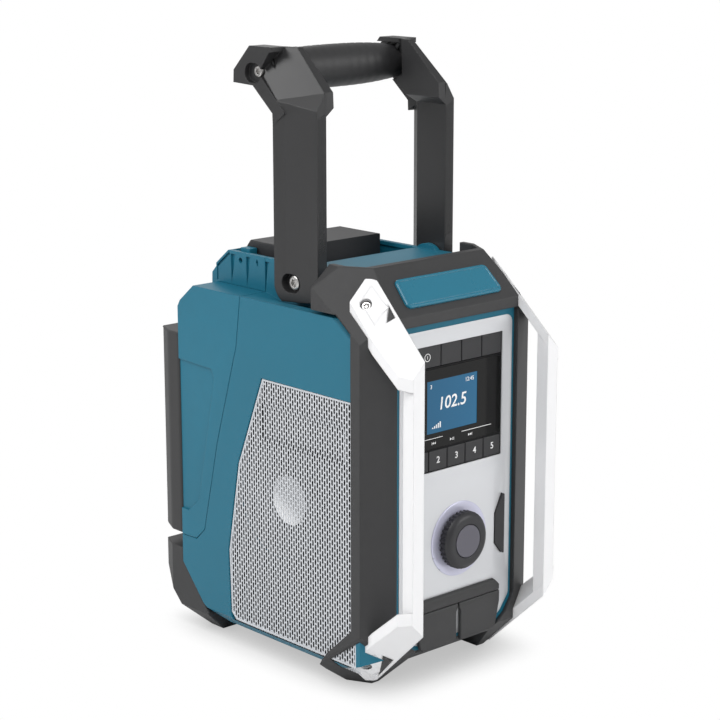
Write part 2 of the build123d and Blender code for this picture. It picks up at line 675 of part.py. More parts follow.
with BuildPart() as front_panel:
    with BuildSketch(face_at(front_y)) as panel_face:
        with BuildLine():
            Polyline(*panel_outline, close=True)
        make_face()
        fillet(panel_face.vertices().group_by(Axis.Z)[-1], radius=6.0)
    extrude(amount=0.4)
    with BuildSketch(face_at(front_y - 0.4)) as panel_face:
        with BuildLine():
            Polyline(*panel_outline, close=True)
        make_face()
        fillet(panel_face.vertices().group_by(Axis.Z)[-1], radius=6.0)
    with BuildSketch(face_at(panel_y)) as panel_face:
        with BuildLine():
            Polyline(*panel_outline, close=True)
        make_face()
        fillet(panel_face.vertices().group_by(Axis.Z)[-1], radius=6.0)
        offset(amount=-rim_run)
    loft()
    with BuildSketch(face_at(panel_y)):
        with Locations((0, (pad_low_z + pad_top_z) / 2)):
            Rectangle(2 * (pad_x + pad_run), pad_top_z - pad_low_z + 10)
    with BuildSketch(face_at(pad_y)):
        with Locations((0, (pad_low_z + pad_top_z) / 2)):
            Rectangle(2 * pad_x, pad_top_z - pad_low_z)
    loft()
    # opening for the fascia, the knob, the side keys and the sockets
    with BuildSketch(face_at(pad_y - 5)):
        with Locations((0, (fascia_low_z + fascia_top_z) / 2)):
            RectangleRounded(2 * (fascia_x - lip), fascia_top_z - fascia_low_z - 2 * lip, 0.8)
        with Locations((0, knob_z)):
            Circle(7)
        for side in (-1, 1):
            with BuildLine():
                Polyline(*[(side * x, z) for x, z in tune_key_points], close=True)
            make_face()
        with Locations((port_x["usb"], port_z)):
            Rectangle(14.2, 7.4)
        with Locations((port_x["dc"], port_z)):
            Circle(4.4)
        with Locations((port_x["aux"], port_z)):
            Circle(3.9)
    extrude(amount=-20, mode=Mode.SUBTRACT)
    with BuildSketch(face_at(fascia_y)):
        with Locations((0, (fascia_low_z + fascia_top_z) / 2)):
            Rectangle(2 * fascia_x + 0.4, fascia_top_z - fascia_low_z + 0.4)
    extrude(amount=-20, mode=Mode.SUBTRACT)
save(front_panel.part, "front_panel")

lcd_x, lcd_z = lcd_centre
lcd_w, lcd_h = lcd_size
top_row = [-43.9, -15.8, 4.0, 24.0, 43.9]
preset_row = [-43.9, -27.1, -9.1, 8.6, 26.7, 43.9]
top_row_z = (key_row_z, fascia_top_z - lip - 0.1)
preset_z = (fascia_low_z + lip + 0.1, preset_row_z)
lens_z = (preset_row_z + 1.0, key_row_z - 1.0)

with BuildPart() as fascia:
    with BuildSketch(face_at(fascia_y + 3)):
        with Locations((0, (fascia_low_z + fascia_top_z) / 2)):
            RectangleRounded(2 * fascia_x, fascia_top_z - fascia_low_z, 1.0)
    extrude(amount=3)
    with BuildSketch(face_at(fascia_y - 1)):
        for z0, z1 in (top_row_z, preset_z):
            with Locations((0, (z0 + z1) / 2)):
                Rectangle(2 * 43.9 + 0.2, z1 - z0 + 0.1)
        with Locations((lcd_x, lcd_z)):
            Rectangle(lcd_w + 0.6, lcd_h + 0.6)
    extrude(amount=-10, mode=Mode.SUBTRACT)
    with BuildSketch(face_at(fascia_y)):
        with Locations((0, (lens_z[0] + lens_z[1]) / 2)):
            Rectangle(87.4, lens_z[1] - lens_z[0])
    extrude(amount=-1.2, mode=Mode.SUBTRACT)
save(fascia.part, "control_fascia")

with BuildPart() as lens:
    with BuildSketch(face_at(fascia_y + 1.2)):
        with Locations((0, (lens_z[0] + lens_z[1]) / 2)):
            Rectangle(87.0, lens_z[1] - lens_z[0] - 0.4)
    extrude(amount=1.3)
save(lens.part, "display_lens")

with BuildPart() as lcd:
    with BuildSketch(face_at(fascia_y + 3)):
        with Locations((lcd_x, lcd_z)):
            Rectangle(lcd_w, lcd_h)
    extrude(amount=1.7)
    with BuildSketch(face_at(fascia_y + 3)):
        with Locations((lcd_x, lcd_z)):
            Rectangle(lcd_w + 9, lcd_h + 9)
    extrude(amount=-5)
save(lcd.part, "display_module")

board_y = fascia_y + 8
with BuildPart() as control_board:
    with BuildSketch(face_at(board_y)):
        with Locations((0, (fascia_low_z + fascia_top_z) / 2)):
            Rectangle(2 * fascia_x - 4, fascia_top_z - fascia_low_z - 2)
            with Locations((38, 38), (-38, 38), (38, -38), (-38, -38)):
                Circle(1.7, mode=Mode.SUBTRACT)
    extrude(amount=-1.6)
save(control_board.part, "control_board")


def make_key(name, x0, x1, z0, z1):
    """One rounded key cap with a stem towards its switch."""
    with BuildPart() as key:
        with BuildSketch(face_at(fascia_y - 0.4)):
            with Locations(((x0 + x1) / 2, (z0 + z1) / 2)):
                Rectangle(x1 - x0 - 2 * key_gap, z1 - z0 - 2 * key_gap)
        extrude(amount=-key_depth + 1)
        chamfer(key.faces().sort_by(Axis.Y)[0].edges(), length=0.5)
        with BuildSketch(face_at(fascia_y + key_depth - 1.4)):
            with Locations(((x0 + x1) / 2, (z0 + z1) / 2)):
                Rectangle(3.0, 3.0)
        extrude(amount=-(board_y - fascia_y - key_depth + 1.4 - key_travel - 0.3))
    save(key.part, name)


top_names = ["key_power", "key_band", "key_menu", "key_info"]
for name, x0, x1 in zip(top_names, top_row[:-1], top_row[1:]):
    make_key(name, x0, x1, *top_row_z)
for number, (x0, x1) in enumerate(zip(preset_row[:-1], preset_row[1:]), start=1):
    make_key(f"key_preset_{number}", x0, x1, *preset_z)

# tuning keys on the pad's sloping sides
for side, tag in ((-1, "down"), (1, "up")):
    with BuildPart() as tune_key:
        with BuildSketch(face_at(pad_y - 1)):
            with BuildLine():
                Polyline(*[(side * x, z) for x, z in tune_key_points], close=True)
            make_face()
            offset(amount=-0.35, kind=Kind.INTERSECTION)
        extrude(amount=-(front_y + wall - pad_y) + 1.5)
        slope = Plane(origin=(side * pad_x, pad_y - 0.5, 0),
                      z_dir=(side * (pad_y - panel_y), -pad_run, 0))
        split(bisect_by=slope, keep=Keep.BOTTOM)
        with BuildSketch(face_at(front_y + wall - 2.5)):
            with Locations((side * 41.5, knob_z)):
                Rectangle(3.0, 3.0)
        extrude(amount=-10)
    save(tune_key.part, f"key_tune_{tag}")

# ---------------------------------------------------------------- knob and encoder
ring_y = pad_y - 0.8
knob_back_y = ring_y - knob_push - 0.2
knob_ribs = 36

with BuildPart() as knob_ring:
    with BuildSketch(face_at(pad_y)):
        with Locations((0, knob_z)):
            Circle(ring_d / 2)
            Circle(7.5, mode=Mode.SUBTRACT)
    extrude(amount=pad_y - ring_y)
    chamfer(knob_ring.faces().sort_by(Axis.Y)[0].edges().sort_by(SortBy.LENGTH)[-1:], length=0.5)
save(knob_ring.part, "knob_ring")

with BuildPart() as tuning_knob:
    with BuildSketch(face_at(knob_back_y)):
        with Locations((0, knob_z)):
            Circle(knob_d / 2)
            with PolarLocations(knob_d / 2 + 0.25, knob_ribs):
                Rectangle(1.3, 1.3, mode=Mode.SUBTRACT)
    extrude(amount=knob_back_y - knob_front_y - 3.0)
    with BuildSketch(face_at(knob_front_y + 3.0)):
        with Locations((0, knob_z)):
            Circle(knob_d / 2 - 0.4)
    extrude(amount=3.0)
    chamfer(tuning_knob.faces().sort_by(Axis.Y)[0].edges(), length=2.2, length2=4.2)
    with BuildSketch(face_at(knob_front_y)):
        with Locations((0, knob_z)):
            Circle(12.0)
    extrude(amount=-1.0, mode=Mode.SUBTRACT)
    with BuildSketch(face_at(knob_back_y)):
        with Locations((0, knob_z)):
            Circle(shaft_d / 2 + 0.02)
    extrude(amount=6.5, mode=Mode.SUBTRACT)
save(tuning_knob.part, "tuning_knob")

with BuildPart() as knob_cap:
    with BuildSketch(face_at(knob_front_y + 1.0)):
        with Locations((0, knob_z)):
            Circle(11.7)
    extrude(amount=1.1)
    chamfer(knob_cap.faces().sort_by(Axis.Y)[0].edges(), length=0.4)
save(knob_cap.part, "knob_cap")

shaft_end_y = -93.7
encoder_back_y = -90.0
with BuildPart() as shaft:
    with BuildSketch(face_at(knob_back_y - 6.4)):
        with Locations((0, knob_z)):
            Circle(shaft_d / 2)
    extrude(amount=-(shaft_end_y - knob_back_y + 6.4))
save(shaft.part, "encoder_shaft")

with BuildPart() as encoder:
    with BuildSketch(face_at(encoder_back_y)):
        with Locations((0, knob_z)):
            Rectangle(15, 15)
    extrude(amount=10.5)
    with BuildSketch(face_at(encoder_back_y - 10.5)):
        with Locations((0, knob_z)):
            Circle(5.0)
    extrude(amount=7.0)
    with BuildSketch(face_at(encoder_back_y)):
        with Locations((0, knob_z)):
            Circle(shaft_d / 2 + run)
    extrude(amount=20, mode=Mode.SUBTRACT)
    with BuildSketch(face_at(encoder_back_y)):
        with Locations((0, knob_z)):
            Circle(6.4)
    extrude(amount=4.6, mode=Mode.SUBTRACT)
save(encoder.part, "encoder_body")

with BuildPart() as collar:
    with BuildSketch(face_at(shaft_end_y + 0.1 + 1.6)):
        with Locations((0, knob_z)):
            Circle(6.0)
    extrude(amount=1.6)
save(collar.part, "encoder_collar")

with BuildPart() as main_board:
    with BuildSketch(face_at(encoder_back_y)):
        with Locations((0, 88)):
            Rectangle(104, 112)
    extrude(amount=-1.6)
    with BuildSketch(face_at(encoder_back_y + 1.6)):
        with Locations((-18, 112), (20, 104), (4, 66)):
            Rectangle(20, 16)
    extrude(amount=-2.4)
save(main_board.part, "main_board")

# ---------------------------------------------------------------- sockets and their cover
with BuildPart() as usb_socket:
    with BuildSketch(face_at(panel_y + 0.4)):
        with Locations((port_x["usb"], port_z)):
            Rectangle(13.6, 6.8)
            Rectangle(12.6, 5.6, mode=Mode.SUBTRACT)
    extrude(amount=-13)
    with BuildSketch(face_at(panel_y + 13.4)):
        with Locations((port_x["usb"], port_z)):
            Rectangle(13.6, 6.8)
    extrude(amount=-(encoder_back_y - panel_y - 13.4))
    with BuildSketch(face_at(panel_y + 13.4)):
        with Locations((port_x["usb"], port_z + 1.2)):
            Rectangle(11.0, 1.8)
    extrude(amount=11)
save(usb_socket.part, "usb_socket")

with BuildPart() as dc_inlet:
    with BuildSketch(face_at(panel_y + 0.4)):
        with Locations((port_x["dc"], port_z)):
            Circle(4.1)
            Circle(2.8, mode=Mode.SUBTRACT)
    extrude(amount=-10)
    with BuildSketch(face_at(panel_y + 10.4)):
        with Locations((port_x["dc"], port_z)):
            Circle(4.1)
    extrude(amount=-(encoder_back_y - panel_y - 10.4))
    with BuildSketch(face_at(panel_y + 10.4)):
        with Locations((port_x["dc"], port_z)):
            Circle(1.05)
    extrude(amount=8)
save(dc_inlet.part, "dc_inlet")

with BuildPart() as aux_jack:
    with BuildSketch(face_at(panel_y + 0.4)):
        with Locations((port_x["aux"], port_z)):
            Circle(3.6)
            Circle(1.75, mode=Mode.SUBTRACT)
    extrude(amount=-14)
    with BuildSketch(face_at(panel_y + 14.4)):
        with Locations((port_x["aux"], port_z)):
            Circle(3.6)
    extrude(amount=-(encoder_back_y - panel_y - 14.4))
save(aux_jack.part, "aux_jack")

with BuildPart() as port_cover:
    with BuildSketch(face_at(panel_y)):
        with BuildLine():
            Polyline((-36.5, ports_top_z), (36.5, ports_top_z), (41.5, ports_top_z - 5.0),
                     (41.5, flap_hinge_z + 0.25), (-41.5, flap_hinge_z + 0.25),
                     (-41.5, ports_top_z - 5.0), close=True)
        make_face()
    extrude(amount=panel_y - flap_y)
    chamfer(port_cover.faces().sort_by(Axis.Y)[0].edges().sort_by(Axis.Z)[-1:], length=1.6)
save(port_cover.part, "port_cover")

flap_axis_z = flap_hinge_z - 0.2 - flap_bead_r
for side, tag in ((-1, "left"), (1, "right")):
    with BuildPart() as flap:
        with BuildSketch(face_at(panel_y - slip)):
            with BuildLine():
                Polyline((side * 0.9, flap_axis_z), (side * 41.3, flap_axis_z),
                         (side * 41.3, 46.0), (side * 37.4, ports_low_z + 3.0),
                         (side * 34.4, ports_low_z), (side * 2.4, ports_low_z),
                         (side * 2.4, 48.0), (side * 0.9, 50.5), close=True)
            make_face()
        extrude(amount=panel_y - slip - flap_y)
        chamfer(flap.faces().sort_by(Axis.Y)[0].edges().group_by(Axis.Z)[0], length=0.8)
        with Locations((side * 21.1, flap_y + flap_bead_r, flap_axis_z)):
            Cylinder(flap_bead_r, 40.4, rotation=(0, 90, 0))
    save(flap.part, f"port_flap_{tag}")

# ---------------------------------------------------------------- badge plate, left bare
badge_mid_y = -94.3
badge_plane = Plane(origin=(0, badge_mid_y, slope_line + badge_mid_y), x_dir=(1, 0, 0),
                    z_dir=(0, -1, 1))
with BuildPart() as badge:
    with BuildSketch(badge_plane) as badge_face:
        with BuildLine():
            Polyline((-46.0, -11.7), (46.0, -11.7), (43.6, 11.7), (-43.6, 11.7), close=True)
        make_face()
        fillet(badge_face.vertices(), radius=4.0)
    extrude(amount=2.2)
    chamfer(badge.faces().filter_by(badge_plane).sort_by(Axis.Z)[-1].edges(), length=0.8)
save(badge.part, "badge_plate")

# ---------------------------------------------------------------- side grilles
for side, tag in ((-1, "left"), (1, "right")):
    inner_x = side_x - grille_set
    with BuildPart() as grille:
        with BuildSketch(Plane.YZ.offset(side * inner_x)) as face:
            with BuildLine():
                Polyline(*grille_outline, close=True)
            make_face()
            offset(amount=-0.4, kind=Kind.INTERSECTION)
        extrude(amount=side * sheet)
        # return flange along the housing's lower chamfer
        with BuildSketch(Plane.XZ.offset(47.0)):
            low_x = side_x - base_chamfer
            with BuildLine():
                Polyline((side * inner_x, grille_low_z + 0.6),
                         (side * (inner_x + sheet), grille_low_z + 0.6),
                         (side * (inner_x + sheet), base_z + inner_x - low_x + sheet - 1.414),
                         (side * (low_x + 1.414), base_z), (side * low_x, base_z),
                         (side * inner_x, base_z + inner_x - low_x), close=True)
            make_face()
        extrude(amount=-91.0)
        # shallow pressed field in the upper part
        with BuildSketch(Plane.YZ.offset(side * (inner_x + sheet))):
            with Locations((-33.0, 177.5)):
                Rectangle(86.0, 25.5)
        extrude(amount=-side * 0.4, mode=Mode.SUBTRACT)
    save(grille.part, f"grille_{tag}")

# ---------------------------------------------------------------- speakers
speaker_face = side_x - wall
rim = speaker_d / 2
dust_cap_r = 18.0


def speaker_mouth(side):
    """Plane of a speaker's mouth, looking inwards."""
    return Plane(origin=(side * speaker_face, speaker_y, speaker_z), x_dir=(0, 1, 0), z_dir=(-side, 0, 0))


for side, tag in ((-1, "left"), (1, "right")):
    mouth = speaker_mouth(side)
    speaker_plane = Plane(origin=(0, speaker_y, speaker_z), x_dir=(side, 0, 0), z_dir=(0, 1, 0))
    speaker_axis = Axis((0, speaker_y, speaker_z), (1, 0, 0))
    # eight-sided basket, its flat flange, and the magnet behind it
    with BuildPart() as basket:
        with BuildSketch(mouth):
            RegularPolygon(rim + 2.0, 8, major_radius=False, rotation=22.5)
        extrude(amount=2.0)
        with BuildSketch(mouth.offset(2.0)):
            RegularPolygon(rim - 1.0, 8, major_radius=False, rotation=22.5)
        with BuildSketch(mouth.offset(7.0)):
            RegularPolygon(rim - 5.0, 8, major_radius=False, rotation=22.5)
        with BuildSketch(mouth.offset(17.0)):
            RegularPolygon(24.0, 8, major_radius=False, rotation=22.5)
        loft(ruled=True)
        with BuildSketch(mouth):
            RegularPolygon(rim - 4.3, 8, major_radius=False, rotation=22.5)
        extrude(amount=2.4, mode=Mode.SUBTRACT)
        with BuildSketch(mouth.offset(2.4)):
            RegularPolygon(rim - 6.5, 8, major_radius=False, rotation=22.5)
        with BuildSketch(mouth.offset(7.0)):
            RegularPolygon(rim - 8.5, 8, major_radius=False, rotation=22.5)
        with BuildSketch(mouth.offset(15.0)):
            RegularPolygon(22.0, 8, major_radius=False, rotation=22.5)
        loft(ruled=True, mode=Mode.SUBTRACT)
        with BuildSketch(mouth.offset(17.0)):
            Circle(28.0)
        extrude(amount=14.0)
        with BuildSketch(mouth.offset(14.0)):
            Circle(13.0)
        extrude(amount=12.0, mode=Mode.SUBTRACT)
    save(basket.part, f"speaker_basket_{tag}")

    with BuildPart() as cone:
        with BuildSketch(speaker_plane):
            with BuildLine():
                Polyline((speaker_face - 3.0, rim - 9.8), (speaker_face - 4.0, rim - 9.8),
                         (65.0, 12.0), (58.0, 12.0), (58.0, 0.0), (66.4, 0.0), (67.4, dust_cap_r),
                         close=True)
            make_face()
        revolve(axis=speaker_axis)
    save(cone.part, f"speaker_cone_{tag}")

with BuildPart() as surrounds:
    for side in (-1, 1):
        with BuildSketch(speaker_mouth(side).offset(0.6)):
            Circle(rim - 4.6)
            Circle(rim - 9.2, mode=Mode.SUBTRACT)
        extrude(amount=1.8)
save(surrounds.part, "speaker_surrounds")

# ---------------------------------------------------------------- handle
leg_low_z = pivot_z - heel_r * sin(radians(57.3))
heel_start = (pivot_y + heel_r * cos(radians(57.3)), leg_low_z)
heel_middle = (pivot_y + heel_r * cos(radians(28.6)), pivot_z - heel_r * sin(radians(28.6)))
plate_out_x = leg_out_x + 3.3
brow = (leg_front_y + 0.6, head_z + 10.6)        # lower front corner of the heads' leaning facet
brow_top = (leg_front_y + 31.7, top_z)           # where the front slope meets the flat top
notch = (grip_y - 2.2, grip_z - 0.9)             # inner corner of the boss plate
plate_top = (grip_y - 16.8, top_z)
crest_y = grip_y + 7.3
facet = Plane(origin=(leg_out_x - 7.5, *brow), z_dir=(0.9355, -0.1848, 0.3024))
shoulder = Plane(origin=(leg_out_x, leg_front_y, head_z - 1.5), z_dir=(0.841, -0.122, 0.527))
outer_face = Plane(origin=(leg_out_x, leg_front_y, head_z), z_dir=(0.9977, -0.067, 0))
inner_slope = Plane(origin=(leg_in_x, 0, head_z - 5.5), z_dir=(-0.623, 0, -0.782))


def prism(points, x0, x1, cuts=()):
    """Solid between two x positions over (y, z) points, cut back to the inside of some planes."""
    with BuildPart() as block:
        with BuildSketch(Plane.YZ.offset(x0)):
            with BuildLine():
                Polyline(*points, close=True)
            make_face()
        extrude(amount=x1 - x0)
        for plane in cuts:
            split(bisect_by=plane, keep=Keep.BOTTOM)
    return block.part


with BuildPart() as column:
    with BuildSketch(Plane.XY.offset(leg_low_z - 1)):
        with BuildLine():
            Polyline((leg_out_x, leg_front_y), (leg_out_x + 2.1, leg_back_y - 11.2),
                     (plate_out_x, leg_back_y), (leg_out_x + 1.6, leg_back_y + 0.2),
                     (leg_in_x, leg_back_y - 13.4), (leg_in_x, leg_front_y), close=True)
        make_face()
    extrude(amount=head_z + 11 - leg_low_z)
    with BuildSketch(Plane.YZ.offset(leg_in_x - 1)):
        with BuildLine():
            Polyline((pivot_y + heel_r, pivot_z), (pivot_y + heel_r, top_z), (leg_front_y, top_z),
                     (leg_front_y, leg_low_z + 4.4), (leg_front_y + 10, leg_low_z + 1.9), heel_start)
            ThreePointArc(heel_start, heel_middle, (pivot_y + heel_r, pivot_z))
        make_face()
    extrude(amount=20, mode=Mode.INTERSECT)
    split(bisect_by=shoulder, keep=Keep.BOTTOM)

head_front = prism(
    [(leg_front_y, head_z - 15), (leg_front_y, head_z - 1), brow, brow_top, (leg_front_y + 39, top_z),
     (leg_front_y + 38, head_z + 13), (leg_back_y + 0.9, head_z + 12), (leg_back_y + 0.7, head_z + 8),
     (leg_back_y - 8.7, head_z), (leg_back_y - 12.4, head_z - 5), (leg_back_y - 13.4, head_z - 15)],
    leg_in_x - 6.9, leg_out_x + 6, (facet, outer_face, inner_slope))
head_facet = prism(
    [brow, brow_top, (plate_top[0] + 3.5, top_z), (notch[0] + 3.5, notch[1]),
     (leg_back_y - 7.5, head_z), (leg_front_y + 14, head_z)],
    leg_in_x - 12, leg_out_x + 6, (facet, Plane(origin=facet.offset(-3).origin, z_dir=-facet.z_dir)))
boss_plate = prism(
    [(leg_back_y - 1.4, head_z - 13), (leg_back_y, head_z - 13), (leg_back_y + 0.3, head_z - 5.7),
     (grip_y + 4.0, grip_z - 9.9), (grip_y + 25.1, grip_z - 9.0), (grip_y + 24.7, grip_z - 0.2),
     (crest_y, top_z), plate_top, notch, (leg_back_y - 7.5, head_z), (leg_back_y - 12.4, head_z - 5)],
    leg_out_x - 4.8, plate_out_x)
boss_step = prism([plate_top, (plate_top[0] + 3.5, top_z), (notch[0] + 3.5, notch[1]), notch],
                  leg_in_x - 1, plate_out_x)
top_web = prism([plate_top, (crest_y, top_z), (crest_y + 3.2, top_z - 3.4),
                 (plate_top[0], top_z - 3.4)], leg_in_x - 1.9, plate_out_x)

for side, tag in ((-1, "left"), (1, "right")):
    with BuildPart() as leg:
        add(column.part)
        with Locations((leg_in_x + 2.55, pivot_y, pivot_z)):
            Cylinder(7.5, 5.1, rotation=(0, 90, 0))
        for piece in (head_front, head_facet, boss_plate, boss_step, top_web):
            add(piece)
        # room for the grip's end
        with Locations((31.1, grip_y, grip_z)):
            Cylinder(13.5, 2 * 31.0, rotation=(0, 90, 0), mode=Mode.SUBTRACT)
        # recess and hole for the pivot
        with BuildSketch(Plane.YZ.offset(leg_out_x + 5)):
            with Locations((pivot_y, pivot_z)):
                SlotOverall(17.8, 13.2)
        extrude(amount=-5 - recess_floor, mode=Mode.SUBTRACT)
        with Locations((leg_out_x, pivot_y, pivot_z)):
            Cylinder(pivot_d / 2 + 1.3, 30, rotation=(0, 90, 0), mode=Mode.SUBTRACT)
        # recess and hole for the grip's screw
        with BuildSketch(Plane.YZ.offset(leg_out_x + 5)):
            with Locations((grip_y + 3.6, grip_z - 1.2)):
                SlotOverall(17.6, 13.8)
        extrude(amount=-5.7, mode=Mode.SUBTRACT)
        with Locations((leg_out_x, grip_y, grip_z)):
            Cylinder(2.2, 20, rotation=(0, 90, 0), mode=Mode.SUBTRACT)
    if side > 0:
        save(leg.part, f"handle_leg_{tag}")
    else:
        save(mirror(leg.part, about=Plane.YZ), f"handle_leg_{tag}")

grip_plane = Plane(origin=(0, grip_y, grip_z), x_dir=(1, 0, 0), z_dir=(0, 1, 0))
with BuildPart() as grip:
    with BuildSketch(grip_plane):
        with BuildLine():
            Polyline((grip_half, grip_r - 3.6), (grip_half - 16.8, grip_r - 1.4), (0, grip_r),
                     (-grip_half + 16.8, grip_r - 1.4), (-grip_half, grip_r - 3.6),
                     (-grip_half, 6.05), (grip_half, 6.05), close=True)
        make_face()
    revolve(axis=Axis((0, grip_y, grip_z), (1, 0, 0)))
save(grip.part, "handle_grip")

with BuildPart() as core:
    with Locations((0, grip_y, grip_z)):
        Cylinder(6.0, 2 * grip_half + 0.2, rotation=(0, 90, 0))
        Cylinder(2.0, 2 * grip_half + 1, rotation=(0, 90, 0), mode=Mode.SUBTRACT)
save(core.part, "handle_core")

with BuildPart() as grip_screws:
    for side in (-1, 1):
        with Locations((side * (leg_out_x + 0.7), grip_y, grip_z)):
            Cylinder(4.2, 2.6, rotation=(0, 90, 0))
        with Locations((side * (leg_out_x - 10.6), grip_y, grip_z)):
            Cylinder(1.95, 20, rotation=(0, 90, 0))
save(grip_screws.part, "grip_screws")

with BuildPart() as pivot_screws:
    for side in (-1, 1):
        head_x = leg_out_x - recess_floor + 0.3
        with BuildSketch(Plane.YZ.offset(side * head_x)):
            with Locations((pivot_y, pivot_z)):
                Circle(5.6)
        extrude(amount=side * 2.6)
        with BuildSketch(Plane.YZ.offset(side * head_x)):
            with Locations((pivot_y, pivot_z)):
                Circle(pivot_d / 2)
        extrude(amount=-side * (head_x - crown_x + 8))
save(pivot_screws.part, "pivot_screws")

with BuildPart() as pivot_bushes:
    for side in (-1, 1):
        with BuildSketch(Plane.YZ.offset(side * (leg_in_x + 0.1))):
            with Locations((pivot_y, pivot_z)):
                Circle(pivot_d / 2 + 1.27)
                Circle(pivot_d / 2 + run, mode=Mode.SUBTRACT)
        extrude(amount=side * (leg_out_x - recess_floor - leg_in_x - 0.2))
save(pivot_bushes.part, "pivot_bushes")

with BuildPart() as guard_screws:
    add(screw_column(screw_head[0], boss_depth - boss_floor - screw_head[1], boss_depth - boss_floor))
    add(screw_column(guard_screw_d / 2, boss_depth - boss_floor, boss_depth + screw_reach))
save(guard_screws.part, "guard_screws")
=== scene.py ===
"""Jobsite radio: finished surfaces, trim and stage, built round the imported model.

Metres throughout. +Z is up and the control panel looks to -Y. Where a function takes a side, it is
-1 on the left and 1 on the right.
"""
import json
import math

import bmesh
import bpy
from bpy.props import FloatProperty, FloatVectorProperty, PointerProperty
from mathutils import Matrix, Vector


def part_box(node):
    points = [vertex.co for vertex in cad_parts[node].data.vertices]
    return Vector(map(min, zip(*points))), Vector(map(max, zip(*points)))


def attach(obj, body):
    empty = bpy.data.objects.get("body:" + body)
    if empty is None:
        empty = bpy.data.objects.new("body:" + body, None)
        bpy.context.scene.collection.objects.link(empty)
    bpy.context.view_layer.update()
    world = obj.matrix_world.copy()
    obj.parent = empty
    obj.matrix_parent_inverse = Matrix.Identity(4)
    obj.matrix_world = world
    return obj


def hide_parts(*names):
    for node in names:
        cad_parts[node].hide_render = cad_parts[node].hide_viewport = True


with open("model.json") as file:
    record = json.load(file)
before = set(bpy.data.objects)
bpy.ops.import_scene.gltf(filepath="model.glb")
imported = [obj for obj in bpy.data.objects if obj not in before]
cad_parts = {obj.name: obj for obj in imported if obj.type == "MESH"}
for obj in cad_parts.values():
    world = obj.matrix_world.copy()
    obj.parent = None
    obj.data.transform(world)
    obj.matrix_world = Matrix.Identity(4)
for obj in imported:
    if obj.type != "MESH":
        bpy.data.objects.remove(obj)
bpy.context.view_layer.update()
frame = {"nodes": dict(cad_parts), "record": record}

bl_info = {
    "name": "Jobsite Radio Finish",
    "version": (1, 0, 0),
    "blender": (4, 5, 0),
    "location": "View3D > Sidebar > Radio",
    "description": "Builds the finished surfaces of a jobsite radio round its packed model",
    "category": "Object",
}

MATERIALS = {}
SIDES = ((-1, "left"), (1, "right"))
FORWARD = (0.0, -1.0, 0.0)


def middle_of(node):
    """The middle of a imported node's box."""
    return Vector([(a + b) / 2 for a, b in zip(*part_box(node))])


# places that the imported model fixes
GRILLE_OUT = max(abs(corner[0]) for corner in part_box("grille_left"))
GRILLE_IN = GRILLE_OUT - 0.001
GRILLE_LOW = 0.0196
GRILLE_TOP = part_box("grille_left")[1][2]
GRILLE_OUTLINE = [(-0.0876, 0.2091), (0.01035, 0.2091), (0.0381, 0.1409), (0.0506, 0.0720),
                  (0.0488, 0.0242), (0.0438, GRILLE_LOW), (-0.0876, GRILLE_LOW)]
SPEAKER = middle_of("speaker_surrounds")
KNOB = middle_of("tuning_knob")
KNOB_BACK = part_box("tuning_knob")[1][1]
KNOB_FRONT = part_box("tuning_knob")[0][1]
KNOB_RADIUS = (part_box("tuning_knob")[1][0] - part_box("tuning_knob")[0][0]) / 2
LENS_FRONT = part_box("display_lens")[0][1]
KEY_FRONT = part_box("key_preset_1")[0][1]
GRIP = middle_of("handle_grip")
PIVOT = middle_of("pivot_bushes")
LEG_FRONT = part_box("handle_leg_left")[0][1]
GUARD_MIDDLE = middle_of("guard_left").z
GUARD_STRAP = (0.0690, -0.0865, 0.2761)  # on the right guard's upper strap, over its screw
GUARD_FACING = (0.611, -0.524, 0.5945)  # the way that strap looks
GUARD_POCKET = 0.0055  # how deep the screw lies under it

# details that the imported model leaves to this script
BADGE_RIM = ((0.0011, 0.0), (0.0004, -0.0004), (0.0006, 0.0004))  # (width, depth) of its steps
RIM_WIDTH = 0.0016
PRESSED_Y = (-0.0755, 0.0108)
PRESSED_Z = (0.1655, 0.1905)
PRESSED_DEPTH = 0.0006
CAP_RADIUS = 0.0176
# painted highlight on the speakers' dust caps: the way it fades across each cap
CAP_HIGHLIGHT_ALONG = (0.0, 0.50, -0.86)
CAP_HIGHLIGHT_SPAN = (-0.002, 0.017)  # from none of the painted highlight to all of it, measured along that way
SCREEN_BORDER = 0.0045
SCREEN_SPAN = (-0.029, 0.020)  # from its dimmer to its brighter side
KNOB_RIBS = 36
KNOB_GROOVE = 0.0010
KNOB_WELL = 0.0127
RING_RADIUS = 0.0270
GRIP_RINGS = 60
GRIP_TAPER = 0.0034
GRIP_GROOVE = 0.00022
HEAD_HEIGHT = 0.0026
LAMPS = (  # name, place, size, power
    ("lamp_top_left", (-1.3, -1.0, 2.3), 1.4, 34.0),
    ("lamp_front_right", (1.3, -2.2, 1.2), 1.4, 24.0),
    ("lamp_left_back", (-1.75, 1.05, 1.35), 0.9, 16.0),
    ("lamp_back", (0.9, 1.9, 1.8), 1.2, 12.0))
LAMPS_AIM = (0.0, 0.0, 0.2)
CAMERA_PLACE = (-0.95609, -1.04893, 0.54871)
CAMERA_TURN, CAMERA_TILT, CAMERA_ROLL = math.radians(-42.496), math.radians(13.361), -0.00128
CAMERA_LENS, CAMERA_SENSOR = 100.21, 36.0  # millimetres


def colour_prop(name, description, default):
    """A linear RGB colour for a property group."""
    return FloatVectorProperty(name=name, description=description, default=default, size=3,
                               min=0.0, max=1.0, subtype="COLOR")


def length_prop(name, description, default):
    """A length in metres for a property group."""
    return FloatProperty(name=name, description=description, default=default, min=0.0,
                         unit="LENGTH", precision=5)


